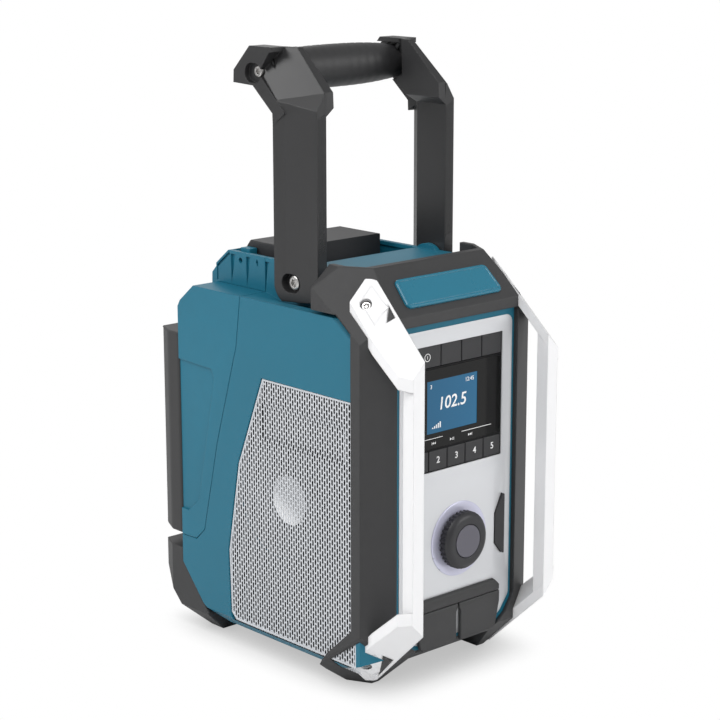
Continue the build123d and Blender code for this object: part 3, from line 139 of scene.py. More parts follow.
class RadioColours(bpy.types.PropertyGroup):
    """Colours of the radio's finishes."""
    casing: colour_prop("Casing", "Blue of the casing", (0.010, 0.140, 0.215))
    rubber: colour_prop("Rubber", "Dark grey of the bumper frame", (0.030, 0.030, 0.031))
    guard: colour_prop("Guards", "White of the corner guards", (0.86, 0.86, 0.87))
    panel: colour_prop("Panel", "Silver white of the control panel", (0.66, 0.67, 0.69))
    key: colour_prop("Keys", "Charcoal of the keys", (0.022, 0.022, 0.024))
    screen: colour_prop("Screen", "Blue of the lit display", (0.018, 0.105, 0.205))
    grille: colour_prop("Grille", "Silver paint of the grilles", (0.62, 0.64, 0.67))
    cone: colour_prop("Cone", "Black paper of the speaker cones", (0.012, 0.012, 0.013))
    cap: colour_prop("Dust cap", "Silver of the speakers' dust caps", (0.60, 0.61, 0.63))
    mark: colour_prop("Marks", "White of the printed numbers and signs", (0.88, 0.88, 0.88))
    knob: colour_prop("Knob", "Charcoal of the tuning knob", (0.018, 0.018, 0.021))
    ring: colour_prop("Knob ring", "Lilac silver of the ring round the knob", (0.60, 0.60, 0.74))
    handle: colour_prop("Handle", "Grey of the handle's legs", (0.020, 0.020, 0.021))


class RadioSizes(bpy.types.PropertyGroup):
    """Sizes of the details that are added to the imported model."""
    edge: length_prop("Edge radius", "Rounding of moulded edges", 0.0010)
    rubber_edge: length_prop("Rubber edge radius", "Rounding of the bumper frame's edges", 0.0022)
    slot_width: length_prop("Grille slot width", "Width of one slot of the grilles", 0.00165)
    slot_height: length_prop("Grille slot height", "Height of one slot of the grilles", 0.00450)
    slot_pitch: length_prop("Grille column pitch", "Distance between two columns of slots", 0.00255)
    slot_rise: length_prop("Grille row pitch", "Distance between two slots of a column", 0.00540)
    sheet: length_prop("Grille thickness", "Thickness of the perforated sheet", 0.00030)
    print_depth: length_prop("Print thickness", "How far marks stand on their face", 0.00008)


# ---------------------------------------------------------------- selecting and finishing meshes
def only(piece):
    """Deselects everything but one object, which becomes the active one."""
    if bpy.context.mode != "OBJECT":
        bpy.ops.object.mode_set(mode="OBJECT")
    bpy.ops.object.select_all(action="DESELECT")
    piece.hide_set(False)
    piece.select_set(True)
    bpy.context.view_layer.objects.active = piece


def edit_all():
    """Starts to edit the active mesh, with all of it selected."""
    bpy.ops.object.mode_set(mode="EDIT")
    bpy.ops.mesh.select_all(action="SELECT")


def stop_editing():
    """Goes back to object mode."""
    bpy.ops.object.mode_set(mode="OBJECT")


def select_where(piece, kind, wanted):
    """In edit mode, selects the elements of a kind (VERT, EDGE or FACE) that wanted() picks."""
    mesh = bmesh.from_edit_mesh(piece.data)
    bpy.ops.mesh.select_mode(type=kind)
    bpy.ops.mesh.select_all(action="DESELECT")
    for element in {"VERT": mesh.verts, "EDGE": mesh.edges, "FACE": mesh.faces}[kind]:
        if wanted(element):
            element.select_set(True)
    bmesh.update_edit_mesh(piece.data)


def place(piece, body, material, slot, *nodes, smooth=35):
    """Shades a finished piece, paints it, and makes it ride on a body in place of some nodes."""
    only(piece)
    bpy.ops.object.transform_apply(location=True, rotation=True, scale=True)
    bpy.ops.object.shade_smooth_by_angle(angle=math.radians(smooth))
    weigh = piece.modifiers.new("flat faces", "WEIGHTED_NORMAL")
    weigh.keep_sharp = True
    bpy.ops.object.modifier_apply(modifier=weigh.name)
    piece.data.materials.clear()
    piece.data.materials.append(material)
    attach(piece, body)
    if nodes:
        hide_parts(*nodes)
    return piece


def paint(node, material):
    """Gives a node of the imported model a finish."""
    mesh = frame["nodes"][node].data
    mesh.materials.clear()
    mesh.materials.append(material)


def copy_of(node, name):
    """A separate copy of a node's mesh, merged into whole faces."""
    source = frame["nodes"][node]
    piece = bpy.data.objects.new(name, source.data.copy())
    bpy.context.scene.collection.objects.link(piece)
    only(piece)
    edit_all()
    bpy.ops.mesh.remove_doubles(threshold=2e-6)
    bpy.ops.mesh.customdata_custom_splitnormals_clear()
    bpy.ops.mesh.dissolve_limited(angle_limit=math.radians(0.6))
    stop_editing()
    return piece


def softened(node, radius, shortest=0.003, sharpest=24, segments=3):
    """A copy of a node whose long sharp edges are rounded."""
    piece = copy_of(node, node + "_skin")
    limit = math.radians(sharpest)
    edit_all()
    select_where(piece, "EDGE", lambda e: len(e.link_faces) == 2 and e.calc_length() > shortest
                 and e.calc_face_angle() > limit)
    bpy.ops.mesh.bevel(offset=radius, offset_type="OFFSET", segments=segments, profile=0.5,
                       clamp_overlap=True, loop_slide=True)
    stop_editing()
    return piece


def repaint_faces(piece, material, wanted):
    """Gives a second finish to the faces for which wanted(face) is true."""
    piece.data.materials.append(material)
    last = len(piece.data.materials) - 1
    for face in piece.data.polygons:
        if wanted(face):
            face.material_index = last


def primitive(name, kind, scale=(1.0, 1.0, 1.0), **settings):
    """A new cube, plane, circle or cylinder, with its place, turn and scale moved into its mesh."""
    bpy.ops.object.select_all(action="DESELECT")
    getattr(bpy.ops.mesh, f"primitive_{kind}_add")(**settings)
    piece = bpy.context.active_object
    piece.name = name
    piece.scale = scale
    bpy.ops.object.transform_apply(location=True, rotation=True, scale=True)
    return piece


def plate(name, low, high):
    """A closed box between two corners."""
    return primitive(name, "cube", scale=[abs(b - a) for a, b in zip(low, high)], size=1.0,
                     location=[(a + b) / 2 for a, b in zip(low, high)])


def arrow(x, z, turn, reach, near, far):
    """A thin three-sided mark that points to the left (turn -1) or right (turn 1)."""
    return primitive("arrow", "cylinder", vertices=3, radius=reach, depth=abs(far - near),
                     location=(x, (near + far) / 2, z),
                     rotation=(math.pi / 2, turn * math.pi / 2, 0.0))


def turned(name, rings, centre, along, segments=96, star=None):
    """A closed turned piece: rings of (radius, distance), stacked from a centre along a direction.

    star is (ring, lobes, factor): at that ring, every other sector is drawn in by the factor."""
    along = Vector(along).normalized()
    centre = Vector(centre)
    (radius, start), rest = rings[0], rings[1:]
    piece = primitive(name, "circle", vertices=segments, radius=radius, fill_type="NGON",
                      location=centre + along * start,
                      rotation=along.to_track_quat("Z", "Y").to_euler())
    edit_all()
    for number, (wide, distance) in enumerate(rest, 1):
        middle = centre + along * distance
        step = along * (distance - start)
        bpy.ops.mesh.extrude_region_move(TRANSFORM_OT_translate={"value": step})
        bpy.ops.transform.resize(value=(wide / radius,) * 3, center_override=middle)
        if star and number == star[0]:
            draw_in(piece, middle, along, star[1], star[2])
        radius, start = wide, distance
    bpy.ops.mesh.select_all(action="SELECT")
    bpy.ops.mesh.normals_make_consistent(inside=False)
    stop_editing()
    return piece


def draw_in(piece, middle, along, lobes, factor):
    """Scales every other sector of the selected face's rim to its middle; it stays selected."""
    mesh = bmesh.from_edit_mesh(piece.data)
    side = along.orthogonal().normalized()
    across = along.cross(side)
    ring = [vertex for vertex in mesh.verts if vertex.select]
    mesh.faces.ensure_lookup_table()
    cap = [face.index for face in mesh.faces if face.select]
    bpy.ops.mesh.select_mode(type="VERT")
    bpy.ops.mesh.select_all(action="DESELECT")
    for vertex in ring:
        arm = vertex.co - middle
        sector = math.atan2(arm.dot(across), arm.dot(side)) / (2 * math.pi) * lobes % 1.0
        vertex.select_set(sector < 0.5)
    bmesh.update_edit_mesh(piece.data)
    bpy.ops.transform.resize(value=(factor,) * 3, center_override=middle)
    bpy.ops.mesh.select_mode(type="FACE")
    bpy.ops.mesh.select_all(action="DESELECT")
    mesh = bmesh.from_edit_mesh(piece.data)
    mesh.faces.ensure_lookup_table()
    for index in cap:
        mesh.faces[index].select_set(True)
    bmesh.update_edit_mesh(piece.data)


def socketed_head(centre, along, radius, height=HEAD_HEIGHT):
    """A domed screw head with a six-lobed driver socket; along points out of the head."""
    socket = radius * 0.54
    rings = [(radius, 0.0), (radius, height * 0.55), (radius * 0.93, height * 0.82),
             (radius * 0.78, height), (socket * 1.10, height), (socket, height * 0.94),
             (socket * 0.96, height * 0.25), (socket * 0.2, height * 0.15)]
    return turned("head", rings, centre, along, segments=48, star=(5, 6, 0.78))


def joined(pieces, name):
    """Several objects made into one piece."""
    only(pieces[0])
    for piece in pieces[1:]:
        piece.select_set(True)
    bpy.ops.object.join()
    piece = bpy.context.active_object
    piece.name = name
    return piece


def lettering(name, words, x, z, face_y, height, depth, slant=0.0):
    """Plain printed characters on a face that looks to the front."""
    bpy.ops.object.select_all(action="DESELECT")
    bpy.ops.object.text_add(location=(x, face_y, z), rotation=(math.pi / 2, 0.0, 0.0))
    piece = bpy.context.active_object
    piece.name = name
    text = piece.data
    text.body = words
    text.size = height
    text.align_x = "CENTER"
    text.align_y = "CENTER"
    text.extrude = depth
    text.offset = height * 0.012
    text.shear = slant
    text.resolution_u = 4
    bpy.ops.object.convert(target="MESH")
    piece = bpy.context.active_object
    edit_all()
    bpy.ops.mesh.remove_doubles(threshold=1e-6)
    stop_editing()
    return piece


# ---------------------------------------------------------------- shader groups and materials
def new_group(name, inputs, outputs):
    """An empty shader group with named sockets: (name, kind, default) in, (name, kind) out."""
    group = bpy.data.node_groups.new(name, "ShaderNodeTree")
    for label, kind, default in inputs:
        socket = group.interface.new_socket(label, in_out="INPUT", socket_type=kind)
        socket.default_value = default
    for label, kind in outputs:
        group.interface.new_socket(label, in_out="OUTPUT", socket_type=kind)
    return group, group.nodes.new("NodeGroupInput"), group.nodes.new("NodeGroupOutput")


def set_inputs(node, **values):
    """Sets inputs of a node by name, with an underscore for each space."""
    for key, value in values.items():
        node.inputs[key.replace("_", " ")].default_value = value
    return node


def add_node(tree, kind, **settings):
    """A node with its settings; a key that starts with in_ sets the input of that name."""
    node = tree.nodes.new(kind)
    for key, value in settings.items():
        if key.startswith("in_"):
            set_inputs(node, **{key[3:]: value})
        else:
            setattr(node, key, value)
    return node


def build_grain_group():
    """Fine moulded texture and a broad, faint mottle on object coordinates."""
    group, inside, outside = new_group(
        "moulded_grain",
        [("Scale", "NodeSocketFloat", 900.0), ("Mottle Scale", "NodeSocketFloat", 14.0)],
        [("Grain", "NodeSocketFloat"), ("Mottle", "NodeSocketFloat")])
    place_node = add_node(group, "ShaderNodeTexCoord")
    fine = add_node(group, "ShaderNodeTexNoise", in_Detail=3.0, in_Roughness=0.6)
    broad = add_node(group, "ShaderNodeTexNoise", in_Detail=4.0, in_Roughness=0.55)
    for node, scale in ((fine, "Scale"), (broad, "Mottle Scale")):
        group.links.new(place_node.outputs["Object"], node.inputs["Vector"])
        group.links.new(inside.outputs[scale], node.inputs["Scale"])
    group.links.new(fine.outputs["Fac"], outside.inputs["Grain"])
    group.links.new(broad.outputs["Fac"], outside.inputs["Mottle"])


def build_wear_group():
    """Mask of convex edges, broken up by noise."""
    group, inside, outside = new_group(
        "lighter_convex_edges",
        [("Start", "NodeSocketFloat", 0.52), ("End", "NodeSocketFloat", 0.60),
         ("Breakup Scale", "NodeSocketFloat", 120.0)],
        [("Mask", "NodeSocketFloat")])
    shape = add_node(group, "ShaderNodeNewGeometry")
    edges = add_node(group, "ShaderNodeMapRange", clamp=True)
    group.links.new(shape.outputs["Pointiness"], edges.inputs["Value"])
    group.links.new(inside.outputs["Start"], edges.inputs["From Min"])
    group.links.new(inside.outputs["End"], edges.inputs["From Max"])
    place_node = add_node(group, "ShaderNodeTexCoord")
    breakup = add_node(group, "ShaderNodeTexNoise", in_Detail=5.0)
    group.links.new(place_node.outputs["Object"], breakup.inputs["Vector"])
    group.links.new(inside.outputs["Breakup Scale"], breakup.inputs["Scale"])
    both = add_node(group, "ShaderNodeMath", operation="MULTIPLY")
    group.links.new(edges.outputs["Result"], both.inputs[0])
    group.links.new(breakup.outputs["Fac"], both.inputs[1])
    group.links.new(both.outputs["Value"], outside.inputs["Mask"])


def add_group(tree, name, **values):
    """Places a shader group with its values."""
    node = tree.nodes.new("ShaderNodeGroup")
    node.node_tree = bpy.data.node_groups[name]
    return set_inputs(node, **values)


def new_material(name):
    """A material, with its node tree and its main shader."""
    material = bpy.data.materials.new(name)
    material.use_nodes = True
    MATERIALS[name] = material
    tree = material.node_tree
    return material, tree, tree.nodes["Principled BSDF"]


def tinted(colour, factor):
    """A colour made lighter or darker."""
    return tuple(min(1.0, c * factor) for c in colour) + (1.0,)


def moulded(name, colour, rough, grain_scale, grain_depth, mottle=0.06, edge_lift=0.12, light_edge=1.5,
            metallic=0.0, coat=0.0, round_edge=0.0004, shine=0.5, glow=0.0):
    """A moulded plastic or rubber: grained, faintly mottled, lighter on its convex edges."""
    _, tree, shader = new_material(name)
    set_inputs(shader, Metallic=metallic, Coat_Weight=coat, Specular_IOR_Level=shine,
               Emission_Color=tinted(colour, 1.0), Emission_Strength=glow, Coat_Roughness=0.15)
    grain = add_group(tree, "moulded_grain", Scale=grain_scale)
    convex_mask = add_group(tree, "lighter_convex_edges")
    mottled = add_node(tree, "ShaderNodeMix", data_type="RGBA")
    set_inputs(mottled, A=tinted(colour, 1.0 - mottle), B=tinted(colour, 1.0 + mottle))
    tree.links.new(grain.outputs["Mottle"], mottled.inputs["Factor"])
    # convex edges are made lighter by this share of the mask
    share = add_node(tree, "ShaderNodeMath", operation="MULTIPLY")
    share.inputs[1].default_value = edge_lift * 2.0
    tree.links.new(convex_mask.outputs["Mask"], share.inputs[0])
    lifted = add_node(tree, "ShaderNodeMix", data_type="RGBA")
    set_inputs(lifted, B=tinted(colour, light_edge))
    tree.links.new(mottled.outputs["Result"], lifted.inputs["A"])
    tree.links.new(share.outputs["Value"], lifted.inputs["Factor"])
    tree.links.new(lifted.outputs["Result"], shader.inputs["Base Color"])
    dull = add_node(tree, "ShaderNodeMapRange", in_To_Min=rough - 0.06, in_To_Max=rough + 0.06)
    tree.links.new(grain.outputs["Mottle"], dull.inputs["Value"])
    tree.links.new(dull.outputs["Result"], shader.inputs["Roughness"])
    edge = add_node(tree, "ShaderNodeBevel", samples=4, in_Radius=round_edge)
    bump = add_node(tree, "ShaderNodeBump", in_Strength=0.35, in_Distance=grain_depth)
    tree.links.new(edge.outputs["Normal"], bump.inputs["Normal"])
    tree.links.new(grain.outputs["Grain"], bump.inputs["Height"])
    tree.links.new(bump.outputs["Normal"], shader.inputs["Normal"])


def build_materials(colours):
    """All finishes of the radio."""
    build_grain_group()
    build_wear_group()
    moulded("casing_blue", colours.casing, 0.40, 1100.0, 0.00006, coat=0.04, round_edge=0.0007,
            shine=0.3)
    moulded("badge_blue", tinted(colours.casing, 1.15)[:3], 0.28, 1100.0, 0.00003, coat=0.2)
    moulded("rubber_grey", colours.rubber, 0.55, 800.0, 0.00010, mottle=0.10, light_edge=2.2,
            round_edge=0.0016)
    moulded("guard_white", colours.guard, 0.34, 1300.0, 0.00003, mottle=0.02, light_edge=1.05,
            round_edge=0.0009)
    moulded("panel_silver", colours.panel, 0.30, 1500.0, 0.00002, mottle=0.02, light_edge=1.05,
            coat=0.15, metallic=0.3)
    moulded("key_charcoal", colours.key, 0.50, 1400.0, 0.00004, light_edge=1.8)
    moulded("grille_paint", colours.grille, 0.38, 1500.0, 0.00002, mottle=0.05, light_edge=1.2,
            metallic=0.35, round_edge=0.00008)
    moulded("knob_charcoal", colours.knob, 0.40, 1200.0, 0.00004, light_edge=1.8)
    moulded("ring_lilac", colours.ring, 0.28, 1500.0, 0.00001, mottle=0.03, light_edge=1.05,
            metallic=0.25, coat=0.3)
    moulded("disc_violet", (0.115, 0.112, 0.135), 0.36, 1500.0, 0.00001, mottle=0.03, metallic=0.3)
    moulded("handle_grey", colours.handle, 0.40, 900.0, 0.00007, light_edge=1.9, round_edge=0.0010)
    moulded("grip_black", (0.024, 0.024, 0.025), 0.50, 700.0, 0.00010, mottle=0.10, light_edge=1.6)
    moulded("inner_black", (0.008, 0.008, 0.009), 0.60, 900.0, 0.00005, shine=0.2)
    moulded("window_black", (0.003, 0.003, 0.003), 0.10, 900.0, 0.000003, edge_lift=0.0, shine=0.25)
    moulded("screw_steel", (0.52, 0.51, 0.50), 0.30, 2500.0, 0.00001, metallic=1.0,
            round_edge=0.0001)
    moulded("cone_black", colours.cone, 0.75, 500.0, 0.00010, mottle=0.2)
    # the dust caps' glow is a painted highlight, not a lamp
    moulded("cap_silver", colours.cap, 0.30, 1500.0, 0.00001, mottle=0.03, light_edge=1.05,
            glow=0.55)
    moulded("mark_white", colours.mark, 0.45, 1500.0, 0.00001, edge_lift=0.0)
    cap_glow(MATERIALS["cap_silver"])
    lit_screen("screen_blue", colours.screen)


def cap_glow(material):
    """Paints a highlight on a dust cap as glow, from its lower rear rim fading to nothing at the
    upper front one.
    """
    tree = material.node_tree
    spot = add_node(tree, "ShaderNodeTexCoord")
    along = add_node(tree, "ShaderNodeVectorMath", operation="DOT_PRODUCT")
    along.inputs[1].default_value = CAP_HIGHLIGHT_ALONG
    tree.links.new(spot.outputs["Object"], along.inputs[0])
    middle = CAP_HIGHLIGHT_ALONG[1] * SPEAKER.y + CAP_HIGHLIGHT_ALONG[2] * SPEAKER.z
    fade = add_node(tree, "ShaderNodeMapRange", interpolation_type="SMOOTHSTEP",
                    in_From_Min=middle + CAP_HIGHLIGHT_SPAN[0], in_From_Max=middle + CAP_HIGHLIGHT_SPAN[1])
    tree.links.new(along.outputs["Value"], fade.inputs["Value"])
    shade = add_node(tree, "ShaderNodeCombineColor")
    for channel in ("Red", "Green", "Blue"):
        tree.links.new(fade.outputs["Result"], shade.inputs[channel])
    tree.links.new(shade.outputs["Color"], tree.nodes["Principled BSDF"].inputs["Emission Color"])


def lit_screen(name, colour):
    """A backlit display: its own light, a little stronger to one side, under a glossy front."""
    _, tree, shader = new_material(name)
    set_inputs(shader, Base_Color=tinted(colour, 0.15), Roughness=0.16, Specular_IOR_Level=0.25,
               Emission_Strength=1.0)
    spot = add_node(tree, "ShaderNodeTexCoord")
    parts = add_node(tree, "ShaderNodeSeparateXYZ")
    tree.links.new(spot.outputs["Object"], parts.inputs["Vector"])
    across = add_node(tree, "ShaderNodeMapRange", in_From_Min=SCREEN_SPAN[0],
                      in_From_Max=SCREEN_SPAN[1])
    tree.links.new(parts.outputs["X"], across.inputs["Value"])
    glow = add_node(tree, "ShaderNodeMix", data_type="RGBA")
    set_inputs(glow, A=tinted(colour, 0.92), B=tinted(colour, 1.12))
    tree.links.new(across.outputs["Result"], glow.inputs["Factor"])
    tree.links.new(glow.outputs["Result"], shader.inputs["Emission Color"])


def behind_grille(face):
    """True for faces of the recess's floor behind a grille, which are painted black as painted
    shade so that the slots read dark.
    """
    return abs(abs(face.center.x) - GRILLE_IN) < 0.0004 and abs(face.normal.x) > 0.9


# ---------------------------------------------------------------- operators
class RADIO_OT_casing(bpy.types.Operator):
    """Round the edges of the blue casing and rear door, and step the badge in from its rim"""
    bl_idname = "radio.casing"
    bl_label = "Casing, door and badge"

    def execute(self, context):
        sizes = context.scene.radio_sizes
        for node, body in (("main_housing", "radio_body"), ("rear_door", "door"),
                           ("door_crown", "door")):
            piece = softened(node, sizes.edge)
            place(piece, body, MATERIALS["casing_blue"], "casing_blue", node)
            # painted shade: the recess floor behind each grille is painted black so that the slots
            # read dark
            repaint_faces(piece, MATERIALS["inner_black"], behind_grille)
        badge = copy_of("badge_plate", "badge_skin")
        widest = max(face.area for face in badge.data.polygons)
        edit_all()
        select_where(badge, "FACE", lambda f: f.calc_area() > widest * 0.7 and f.normal.y < -0.3)
        for width, depth in BADGE_RIM:
            bpy.ops.mesh.inset(thickness=width, depth=depth)
        stop_editing()
        place(badge, "radio_body", MATERIALS["badge_blue"], "casing_blue", "badge_plate")
        return {"FINISHED"}


class RADIO_OT_bumpers(bpy.types.Operator):
    """Finish the bumper frame and round the edges of the four rear bumpers"""
    bl_idname = "radio.bumpers"
    bl_label = "Bumpers"

    def execute(self, context):
        sizes = context.scene.radio_sizes
        paint("bumper_frame", MATERIALS["rubber_grey"])
        for level, body in (("upper", "door"), ("lower", "radio_body")):
            for side in ("left", "right"):
                node = f"bumper_{level}_{side}"
                place(softened(node, sizes.rubber_edge), body, MATERIALS["rubber_grey"],
                      "frame_grey", node)
        return {"FINISHED"}


class RADIO_OT_guards(bpy.types.Operator):
    """Finish the white corner guards"""
    bl_idname = "radio.guards"
    bl_label = "Corner guards"

    def execute(self, context):
        for _, tag in SIDES:
            paint("guard_" + tag, MATERIALS["guard_white"])
        return {"FINISHED"}


class RADIO_OT_panel(bpy.types.Operator):
    """Round the edges of the control panel, the socket cover and its flaps"""
    bl_idname = "radio.panel"
    bl_label = "Control panel"

    def execute(self, context):
        place(softened("front_panel", 0.0005), "radio_body", MATERIALS["panel_silver"],
              "panel_silver", "front_panel")
        for node, body in (("port_cover", "radio_body"), ("port_flap_left", "flap_left"),
                           ("port_flap_right", "flap_right")):
            place(softened(node, 0.0006, shortest=0.001), body, MATERIALS["rubber_grey"],
                  "frame_grey", node)
        paint("control_fascia", MATERIALS["inner_black"])
        return {"FINISHED"}


def slotted_cell(side, sizes, y, z):
    """One cell of the perforated sheet with its rounded slot, on the side's outer face."""
    middle = (side * GRILLE_OUT, y, z)
    cell = primitive("cell", "plane", size=1.0, location=middle,
                     rotation=(0.0, side * math.pi / 2, 0.0))
    edit_all()
    bpy.ops.transform.resize(value=(1.0, sizes.slot_pitch, sizes.slot_rise),
                             center_override=middle)
    edge = (sizes.slot_pitch - sizes.slot_width) / 2
    bpy.ops.mesh.inset(thickness=edge, depth=0.0)
    inner = sizes.slot_rise - 2 * edge
    bpy.ops.transform.resize(value=(1.0, 1.0, sizes.slot_height / inner), center_override=middle)
    bpy.ops.mesh.bevel(offset=sizes.slot_width * 0.46, segments=2, affect="VERTICES")
    select_where(cell, "FACE",
                 lambda f: (f.calc_center_median() - Vector(middle)).length < edge / 4)
    bpy.ops.mesh.delete(type="FACE")
    # a vertex half way up both sides, where the neighbouring column's cells meet
    half = sizes.slot_pitch / 2
    select_where(cell, "EDGE",
                 lambda e: abs(abs((e.verts[0].co.y + e.verts[1].co.y) / 2 - y) - half) < 1e-6)
    bpy.ops.mesh.subdivide(number_cuts=1)
    stop_editing()
    return cell


def repeated(piece, count, step):
    """Makes a piece a row of its copies, with their touching edges merged."""
    only(piece)
    array = piece.modifiers.new("repeat", "ARRAY")
    array.use_relative_offset = False
    array.use_constant_offset = True
    array.constant_offset_displace = step
    array.count = count
    array.use_merge_vertices = True
    array.merge_threshold = 2e-5
    bpy.ops.object.modifier_apply(modifier=array.name)


def cut_away(at, normal):
    """In edit mode, removes what lies on the side of a plane to which its normal points."""
    bpy.ops.mesh.select_all(action="SELECT")
    bpy.ops.mesh.bisect(plane_co=at, plane_no=normal, clear_outer=True, clear_inner=False)


def outline_sides():
    """For each straight side of the grilles' outline, its first corner and the way it looks."""
    for (y0, z0), (y1, z1) in zip(GRILLE_OUTLINE, GRILLE_OUTLINE[1:] + GRILLE_OUTLINE[:1]):
        yield Vector((0.0, y0, z0)), Vector((0.0, z0 - z1, y1 - y0)).normalized()


def perforated_sheet(side, sizes):
    """The perforated sheet of one grille, with its pressed field and its bent lower edge."""
    low_z = GRILLE_LOW - 0.0112
    start_y = -0.0885
    columns = 56
    rows = int((GRILLE_TOP - low_z) / sizes.slot_rise) + 2
    even = slotted_cell(side, sizes, start_y, low_z)
    odd = slotted_cell(side, sizes, start_y + sizes.slot_pitch, low_z + sizes.slot_rise / 2)
    for column in (even, odd):
        repeated(column, rows, (0.0, 0.0, sizes.slot_rise))
    sheet = joined([even, odd], "grille_sheet")
    repeated(sheet, columns // 2, (0.0, 2 * sizes.slot_pitch, 0.0))
    edit_all()
    bpy.ops.mesh.select_mode(type="VERT")
    bpy.ops.mesh.remove_doubles(threshold=2e-5)
    for corner, outward in outline_sides():
        if outward.z > -0.99:  # all but the lower side, which is bent instead
            cut_away(corner - outward * RIM_WIDTH * 0.6, outward)
    cut_away((0.0, 0.0, low_z + 0.0006), (0.0, 0.0, -1.0))
    # bend the lower edge along the casing's chamfer
    bpy.ops.mesh.select_all(action="SELECT")
    bpy.ops.mesh.bisect(plane_co=(0.0, 0.0, GRILLE_LOW), plane_no=(0.0, 0.0, 1.0))
    select_where(sheet, "VERT", lambda v: v.co.z < GRILLE_LOW - 1e-5)
    bpy.ops.transform.rotate(value=-side * math.pi / 4, orient_axis="Y",
                             center_override=(side * GRILLE_OUT, 0.0, GRILLE_LOW))
    # press in the upper field
    select_where(sheet, "VERT", lambda v: PRESSED_Y[0] < v.co.y < PRESSED_Y[1]
                 and PRESSED_Z[0] < v.co.z < PRESSED_Z[1])
    bpy.ops.transform.translate(value=(-side * PRESSED_DEPTH, 0.0, 0.0))
    stop_editing()
    thick = sheet.modifiers.new("thickness", "SOLIDIFY")
    thick.thickness = sizes.sheet
    thick.offset = -1.0
    bpy.ops.object.modifier_apply(modifier=thick.name)
    edit_all()
    bpy.ops.mesh.normals_make_consistent(inside=False)
    stop_editing()
    return sheet


def grille_rim(side, tag):
    """The rounded rim round a grille, above its bent lower edge."""
    near, far = side * (GRILLE_IN + 0.0001), side * (GRILLE_OUT + 0.0004)
    rim = primitive("grille_rim_" + tag, "plane", size=0.4, location=(near, 0.0, 0.1),
                    rotation=(0.0, side * math.pi / 2, 0.0))
    edit_all()
    for corner, outward in outline_sides():
        cut_away(corner, outward)
    bpy.ops.mesh.select_all(action="SELECT")
    bpy.ops.mesh.inset(thickness=RIM_WIDTH, depth=0.0)
    bpy.ops.mesh.delete(type="FACE")
    bpy.ops.mesh.select_all(action="SELECT")
    bpy.ops.mesh.extrude_region_move(TRANSFORM_OT_translate={"value": (far - near, 0.0, 0.0)})
    bpy.ops.mesh.select_all(action="SELECT")
    bpy.ops.mesh.normals_make_consistent(inside=False)
    select_where(rim, "EDGE", lambda e: len(e.link_faces) == 2 and e.calc_face_angle() > 1.0
                 and abs((e.verts[0].co.x + e.verts[1].co.x) / 2 - far) < 1e-5)
    bpy.ops.mesh.bevel(offset=0.0004, segments=3, profile=0.5, clamp_overlap=True)
    stop_editing()
    return rim


def on_cap(at):
    """True for places over a speaker's dust cap."""
    return math.hypot(at.y - SPEAKER.y, at.z - SPEAKER.z) < CAP_RADIUS


class RADIO_OT_grilles(bpy.types.Operator):
    """Build the perforated side grilles and finish the speaker cones that show behind them"""
    bl_idname = "radio.grilles"
    bl_label = "Side grilles"

    def execute(self, context):
        sizes = context.scene.radio_sizes
        silver = MATERIALS["grille_paint"]
        for side, tag in SIDES:
            sheet = perforated_sheet(side, sizes)
            sheet.name = "grille_sheet_" + tag
            place(sheet, "radio_body", silver, "grille_silver", "grille_" + tag, smooth=30)
            place(grille_rim(side, tag), "radio_body", silver, "grille_silver", smooth=30)
            cone = copy_of("speaker_cone_" + tag, "cone_" + tag)
            place(cone, "cone_" + tag, MATERIALS["cone_black"], "cone_paper", "speaker_cone_" + tag)
            repaint_faces(cone, MATERIALS["cap_silver"], lambda f: f.normal.x * side > 0.5
                          and on_cap(f.center))
        return {"FINISHED"}


class RADIO_OT_knob(bpy.types.Operator):
    """Turn the ribbed tuning knob, its disc and the ring round it"""
    bl_idname = "radio.knob"
    bl_label = "Tuning knob"

    def execute(self, context):
        tall = KNOB_BACK - KNOB_FRONT
        back = Vector((KNOB.x, KNOB_BACK, KNOB.z))
        r, well = KNOB_RADIUS, KNOB_WELL
        knob = turned("tuning_knob_skin", [
            (r - 0.0006, 0.0), (r, 0.0004), (r, tall - 0.0034), (r - 0.0003, tall - 0.0030),
            (r - 0.0009, tall - 0.0022), (r - 0.0024, tall - 0.0008), (r - 0.0038, tall - 0.0001),
            (r - 0.0052, tall), (well, tall), (well - 0.0005, tall - 0.0003),
            (well - 0.0007, tall - 0.0008), (well - 0.0008, tall - 0.0010)],
            back, FORWARD, segments=KNOB_RIBS * 4)
        edit_all()
        select_where(knob, "VERT", lambda v: in_groove(v.co, KNOB_FRONT + 0.0031, r - 0.0007))
        drawn = 1.0 - KNOB_GROOVE / r
        bpy.ops.transform.resize(value=(drawn, 1.0, drawn), center_override=back)
        stop_editing()
        place(knob, "knob", MATERIALS["knob_charcoal"], "knob_grey", "tuning_knob", smooth=32)
        disc = turned("knob_disc", [
            (0.0116, tall - 0.0010), (0.0117, tall - 0.0002), (0.0114, tall + 0.0001),
            (0.0070, tall - 0.00005), (0.0005, tall - 0.0001)], back, FORWARD)
        place(disc, "knob", MATERIALS["disc_violet"], "knob_grey", "knob_cap", smooth=40)
        ring_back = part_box("knob_ring")[1][1]
        deep = ring_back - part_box("knob_ring")[0][1]
        ring = turned("knob_ring_skin", [
            (RING_RADIUS, 0.0), (RING_RADIUS, deep - 0.0003), (RING_RADIUS - 0.0003, deep),
            (RING_RADIUS - 0.0008, deep + 0.00005), (0.0225, deep - 0.00035),
            (0.0212, deep - 0.0005), (0.0120, deep - 0.0005)],
            (KNOB.x, ring_back, KNOB.z), FORWARD, segments=128)
        place(ring, "radio_body", MATERIALS["ring_lilac"], "ring_silver", "knob_ring", smooth=40)
        return {"FINISHED"}


def in_groove(at, front, reach):
    """True for places on the knob's side wall that lie between two of its ribs."""
    across, up = at.x - KNOB.x, at.z - KNOB.z
    sector = (math.atan2(up, across) / (2 * math.pi) * KNOB_RIBS + 0.01) % 1.0
    return math.hypot(across, up) > reach and at.y > front and sector > 0.5


